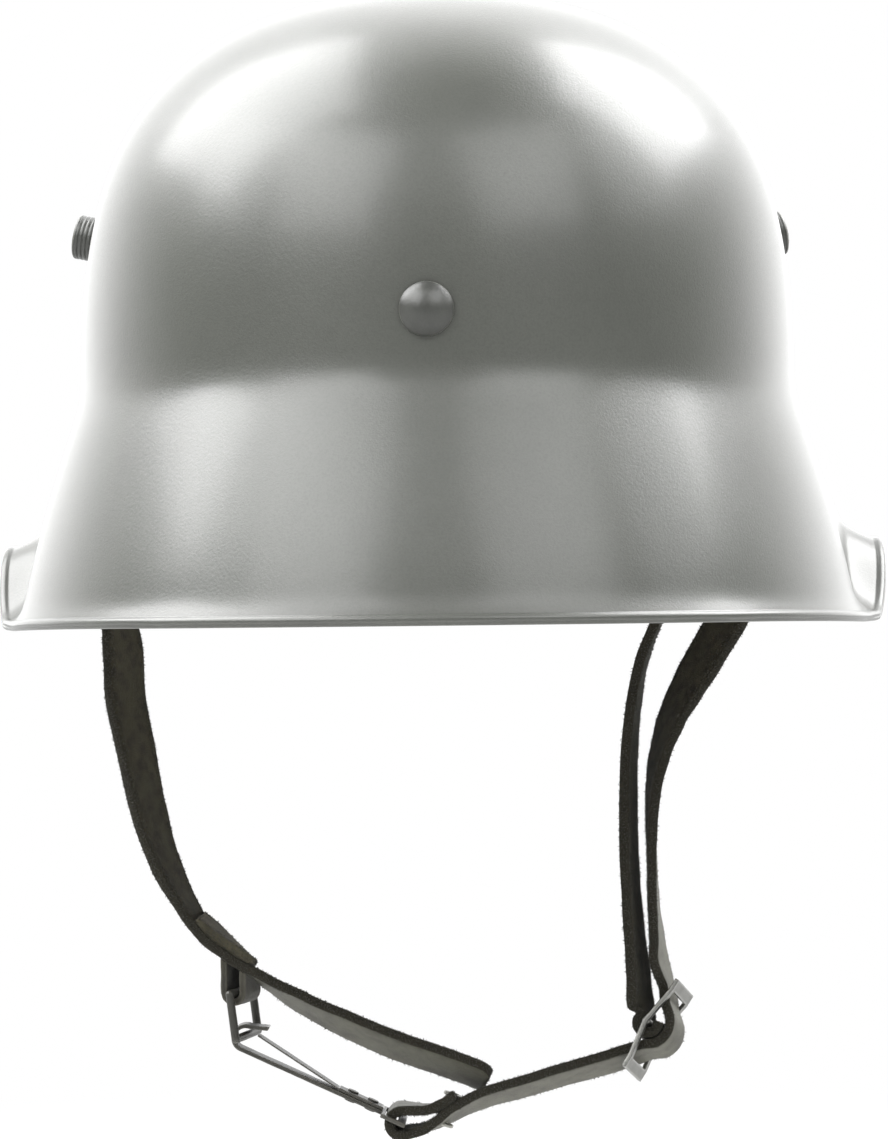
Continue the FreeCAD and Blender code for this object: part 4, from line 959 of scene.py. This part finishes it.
def laid(rows, step):
    # points and directions across, evenly close along a smooth line through the rows
    points = [row[0] for row in rows]
    last = len(points) - 1
    lies = []
    for i, (point, lie) in enumerate(rows):
        if not isinstance(lie, Vector):
            along = (points[min(i + 1, last)] - points[max(i - 1, 0)]).normalized()
            inside = Vector((along.z, 0, -along.x))
            angle = math.radians(lie)
            lie = Vector((0, math.cos(angle), 0)) + inside * math.sin(angle)
        lies.append(lie)
    line = []
    for i in range(last):
        p1, p2 = points[i], points[i + 1]
        p0 = points[i - 1] if i else p1 * 2 - p2
        p3 = points[i + 2] if i + 2 <= last else p2 * 2 - p1
        t1 = math.sqrt((p1 - p0).length)
        t2 = t1 + math.sqrt((p2 - p1).length)
        t3 = t2 + math.sqrt((p3 - p2).length)
        count = max(1, round((p2 - p1).length / step))
        for j in range(count):
            share = j / count
            t = t1 + (t2 - t1) * share
            a1 = p0 * ((t1 - t) / t1) + p1 * (t / t1)
            a2 = p1 * ((t2 - t) / (t2 - t1)) + p2 * ((t - t1) / (t2 - t1))
            a3 = p2 * ((t3 - t) / (t3 - t2)) + p3 * ((t - t2) / (t3 - t2))
            b1 = a1 * ((t2 - t) / t2) + a2 * (t / t2)
            b2 = a2 * ((t3 - t) / (t3 - t1)) + a3 * ((t - t1) / (t3 - t1))
            spot = b1 * ((t2 - t) / (t2 - t1)) + b2 * ((t - t1) / (t2 - t1))
            line.append((spot, lies[i].lerp(lies[i + 1], smoothStep(share)).normalized()))
    line.append((points[-1], lies[-1]))
    return line


def faced(line):
    # adds each place's direction out of the flesh side
    full = []
    last = len(line) - 1
    for i, (spot, across) in enumerate(line):
        along = (line[min(i + 1, last)][0] - line[max(i - 1, 0)][0]).normalized()
        full.append((spot, across, across.cross(along).normalized(), along))
    return full


def sectionOf(width, thickness, corner):
    # points round a strip's section: across, up, cut edge share, grain side share
    k = strap
    half, deep = width / 2, thickness / 2
    count = k["flatPoints"]
    bend = k["cornerCut"]
    points = []
    for side in (1, -1):
        for i in range(count):
            across = (half - corner) * (1 - 2 * i / (count - 1)) * side
            cut = k["flatEndCut"] if i in (0, count - 1) else 0.0
            points.append((across, deep * side, cut, 0.0 if side > 0 else 1.0))
        for turn, way, cut in ((30, 1, bend), (60, 1, bend), (90, 0, 1.0), (60, -1, bend), (30, -1, bend)):
            angle = math.radians(turn)
            points.append((-side * (half - corner + corner * math.sin(angle)),
                           way * side * (deep - corner + corner * math.cos(angle)), cut, 0.5))
    return points


def strip(name, line, width, thickness, seed, endTaper=0, swell=0.0):
    k = strap
    section = sectionOf(width, thickness, k["corner"])
    count = len(section)
    points, cuts, grains, faces = [], [], [], []
    places = faced(line)
    last = len(places) - 1
    for i, (spot, across, up, _) in enumerate(places):
        narrow = 1.0
        if endTaper and last - i < endTaper:
            narrow = 1 - ((endTaper - (last - i)) / endTaper) ** 2 * k["endDepth"]
            narrow = math.sqrt(max(k["endLeast"], narrow))
        for a, u, cut, grain in section:
            x, z = spot.x * k["edgeScale"], spot.z * k["edgeScale"]
            wave = noise.noise(Vector((x + seed, z, 2.0 if a > 0 else 7.0)))
            x, z = spot.x * k["raggedScale"], spot.z * k["raggedScale"]
            wave += k["raggedShare"] * noise.noise(Vector((x, z + seed, a * 0.4 + u))) * cut
            wide = a * narrow + math.copysign(k["edgeWave"] * wave, a) * abs(a) / (width / 2)
            x, z = spot.x * k["faceScale"], spot.z * k["faceScale"]
            uneven = noise.noise(Vector((x, a * 0.2 + seed, z))) * k["faceWave"]
            fuller = 1 + swell * math.sin(math.pi * i / last) * (u > 0)
            points.append((spot + across * wide + up * (u * fuller + uneven)) * mm)
            cuts.append(cut)
            grains.append(grain)
    for i in range(last):
        for j in range(count):
            a, b = i * count + j, i * count + (j + 1) % count
            faces.append((a, b, b + count, a + count))
    faces.append(tuple(range(count - 1, -1, -1)))
    faces.append(tuple(range(last * count, last * count + count)))
    mesh = bpy.data.meshes.new(name)
    mesh.from_pydata(points, [], faces)
    form = bmesh.new()
    form.from_mesh(mesh)
    bmesh.ops.recalc_face_normals(form, faces=form.faces)
    form.to_mesh(mesh)
    form.free()
    mesh.polygons.foreach_set("use_smooth", [len(p.vertices) == 4 for p in mesh.polygons])
    for label, values in (("cutEdge", cuts), ("grainSide", grains)):
        mesh.attributes.new(label, "FLOAT", "POINT").data.foreach_set("value", values)
    return linkedObject(name, mesh)


leftRows = laid(leftLine(), strap["step"])
rightRows = laid(rightLine(), strap["step"])
leftLeather = strip("leftStrapLeather", leftRows, strap["width"], strap["thickness"], 1.0, 4)
rightLeather = strip("rightStrapLeather", rightRows, strap["width"], strap["thickness"], 5.0)
patchRows = laid(rowsOf(strap["patchShares"]), strap["step"])
suedePatch = strip("suedePatch", patchRows, strap["patchWidth"], strap["patchThickness"], 9.0, 3,
                   strap["patchSwell"])
unevenness(suedePatch, strap["suedeWave"], strap["suedeScale"], 3)
for obj, node, body, slotName, material in (
        (leftLeather, "left_strap", "left_chinstrap", "strap_leather", strapLeather),
        (rightLeather, "right_strap", "right_chinstrap", "strap_leather", strapLeather),
        (suedePatch, "strap_patch", "left_chinstrap", "suede_leather", suedeLeather)):
    pieceOf(obj, node, body, material)
print("straps laid:", len(leftRows), len(rightRows))


# Fibres on the cut edges, and stitches: repeated by node groups, then plain meshes
fibres = {"density": 1.4e7, "length": 0.00075, "radius": 0.00016, "tip": 0.00001, "lean": (1.1, 1.1, 3.1),
          "sizes": (0.35, 1.0), "sides": 3}
stitches = {"pitch": 3.0, "length": 0.0022, "radius": 0.00030, "seamInset": 2.2, "seamEnds": (0.004, 0.045),
            "lift": 0.15, "sides": 10, "rings": 8}


def storedValue(tree, name, kind):
    return addNode(tree, "GeometryNodeInputNamedAttribute", {"Name": name}, data_type=kind).outputs["Attribute"]


def growTree(name, settings, makeCopies):
    # makeCopies gives the points, what stands on them, its turn and its size
    tree, start, end = groupOf(name, "GeometryNodeTree", (
        ("Geometry", "Geometry"), *settings, ("Length", "Float"), ("Radius", "Float"), ("Material", "Material")),
        (("Geometry", "Geometry"),))
    points, instance, turn, size = makeCopies(tree, start.outputs)
    copies = addNode(tree, "GeometryNodeInstanceOnPoints", {
        "Points": points, "Instance": instance.outputs["Mesh"], "Rotation": turn, "Scale": size})
    real = addNode(tree, "GeometryNodeRealizeInstances", {0: copies.outputs["Instances"]})
    painted = addNode(tree, "GeometryNodeSetMaterial", {
        "Geometry": real.outputs[0], "Material": start.outputs["Material"]})
    setSockets(tree, end, {"Geometry": painted.outputs[0]})
    return tree


def fibreCopies(tree, given):
    k = fibres
    cut, grain = [storedValue(tree, name, "FLOAT") for name in ("cutEdge", "grainSide")]
    bare = mathNode(tree, "SUBTRACT", cut, grain)
    density = addNode(tree, "ShaderNodeMath", {0: bare, 1: given["Density"]}, operation="MULTIPLY").outputs[0]
    spots = addNode(tree, "GeometryNodeDistributePointsOnFaces", {
        "Mesh": given["Geometry"], "Density": density, "Seed": given["Seed"]}).outputs
    cone = addNode(tree, "GeometryNodeMeshCone", {
        "Vertices": k["sides"], "Radius Top": k["tip"], "Radius Bottom": given["Radius"],
        "Depth": given["Length"]}, fill_type="NONE")
    lean = addNode(tree, "FunctionNodeRandomValue", {
        0: tuple(-most for most in k["lean"]), 1: k["lean"], "Seed": given["Seed"]}, data_type="FLOAT_VECTOR")
    turn = addNode(tree, "FunctionNodeEulerToRotation", {0: lean.outputs[0]}).outputs[0]
    turn = addNode(tree, "FunctionNodeRotateRotation", {0: spots["Rotation"], 1: turn}, rotation_space="LOCAL")
    size = addNode(tree, "FunctionNodeRandomValue", {
        2: k["sizes"][0], 3: k["sizes"][1], "Seed": given["Seed"]}, data_type="FLOAT")
    return spots["Points"], cone, turn.outputs[0], size.outputs[1]


def stitchCopies(tree, given):
    ball = addNode(tree, "GeometryNodeMeshUVSphere", {
        "Segments": stitches["sides"], "Rings": stitches["rings"], "Radius": 1.0})
    way = storedValue(tree, "way", "FLOAT_VECTOR")
    turn = addNode(tree, "FunctionNodeAlignRotationToVector", {"Vector": way}, axis="Z")
    half = mathNode(tree, "MULTIPLY", given["Length"], 0.5)
    size = addNode(tree, "ShaderNodeCombineXYZ", {"X": given["Radius"], "Y": given["Radius"], "Z": half})
    return given["Geometry"], ball, turn.outputs[0], size.outputs[0]


fibreTree = growTree("edgeFibres", (("Density", "Float"), ("Seed", "Int")), fibreCopies)
stitchTree = growTree("stitchRow", (), stitchCopies)


def grown(name, mesh, tree, settings, body):
    # what a node group grows on a mesh, as a plain mesh piece of its own
    obj = linkedObject(name, mesh)
    modifier = obj.modifiers.new("grow", "NODES")
    modifier.node_group = tree
    for item in tree.interface.items_tree:
        if item.item_type == "SOCKET" and item.in_out == "INPUT" and item.name in settings:
            modifier[item.identifier] = settings[item.name]
    settled(obj)
    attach(obj, body)
    return obj


def stitchPoints(name, places):
    # places: point and direction of each stitch, in millimetres
    mesh = bpy.data.meshes.new(name)
    mesh.from_pydata([p * mm for p, _ in places], [], [])
    ways = mesh.attributes.new("way", "FLOAT_VECTOR", "POINT")
    ways.data.foreach_set("vector", [c for _, w in places for c in w])
    return mesh


def alongRow(rows, first, last, offset, height, pitch):
    # stitches along a strip between two shares of its length
    places = faced(rows)
    lengths = [0.0]
    for i in range(1, len(places)):
        lengths.append(lengths[-1] + (places[i][0] - places[i - 1][0]).length)
    out = []
    want = first * lengths[-1]
    for length, (spot, across, up, along) in zip(lengths, places):
        if want <= length <= last * lengths[-1]:
            out.append((spot + across * offset + up * height, along))
            want += pitch
    return out


for obj, name, body, seed in ((leftLeather, "leftStrapFibres", "left_chinstrap", 3),
                              (suedePatch, "suedeFibres", "left_chinstrap", 5),
                              (rightLeather, "rightStrapFibres", "right_chinstrap", 8)):
    grown(name, obj.data.copy(), fibreTree,
          {"Density": fibres["density"], "Seed": seed, "Length": fibres["length"], "Radius": fibres["radius"],
           "Material": loopLeather}, body)
seam = []
halfSeam = strap["width"] / 2 - stitches["seamInset"]
for side in (-1, 1):
    seam += alongRow(leftRows, *stitches["seamEnds"], side * halfSeam, strap["thickness"] / 2 + stitches["lift"],
                     stitches["pitch"])
grown("strapStitches", stitchPoints("strapStitches", seam), stitchTree,
      {"Length": stitches["length"], "Radius": stitches["radius"], "Material": threadCotton},
      "left_chinstrap")
print("fibres and stitches grown")

# Liner: leather pads with soft edges, and stuffed cushions behind them
pads = {"voxel": 0.85, "smooth": 2, "wearReach": 0.15, "wearRounds": 3, "wave": 0.22, "waveScale": 70}
for node, name in (("front_pad", "frontPadLeather"), ("rear_left_pad", "rearLeftPadLeather"),
                   ("rear_right_pad", "rearRightPadLeather")):
    pad = refined(node, name, "helmet", padLeather, pads["voxel"], pads["smooth"],
                  pads["wearReach"], pads["wearRounds"], 0.0)
    unevenness(pad, pads["wave"], pads["waveScale"], len(name))
print("pads ready")

cushion = {"voxel": 5.0, "pressure": 4.0, "frames": 20, "cap": 3.0, "fill": 0.7, "inset": 0.1}


def makeCushion(node, name):
    k = cushion
    obj = cadCopy(node, name)
    voxelled(obj, k["voxel"])
    settled(obj)
    rest = pointsOf(obj.data)
    cloth = obj.modifiers.new("cloth", "CLOTH")
    cloth.settings.use_pressure = True
    cloth.settings.uniform_pressure_force = k["pressure"]
    cloth.settings.effector_weights.gravity = 0
    cloth.point_cache.frame_end = k["frames"]
    for step in range(1, k["frames"] + 1):
        bpy.context.scene.frame_set(step)
        bpy.context.view_layer.update()
    settled(obj)
    bpy.context.scene.frame_set(1)
    moved = pointsOf(obj.data) - rest
    length = np.linalg.norm(moved, axis=1)
    scale = np.minimum(1, k["cap"] * mm / np.maximum(length, 1e-9))
    obj.data.vertices.foreach_set("co", (rest + moved * scale[:, None]).ravel())
    finer = obj.modifiers.new("finer", "SUBSURF")
    finer.levels = 1
    finer.render_levels = 1
    settled(obj)
    fitted(obj, node)
    pieceOf(obj, node, "helmet", cushionCloth)
    return obj


def fitted(obj, node):
    # each point stays within the space that its CAD solid holds
    source = nodes[node]
    inverse = source.matrix_world.inverted()
    mesh = obj.data
    for vertex in mesh.vertices:
        local = inverse @ vertex.co
        found, spot, normal, _ = source.closest_point_on_mesh(local)
        if found and (local - spot).dot(normal) > 0:
            vertex.co = source.matrix_world @ (spot - normal * cushion["inset"] * mm)
    mesh.update()


for node, name in (("front_cushion", "frontCushionCloth"), ("rear_left_cushion", "rearLeftCushionCloth"),
                   ("rear_right_cushion", "rearRightCushionCloth")):
    makeCushion(node, name)
print("cushions stuffed")
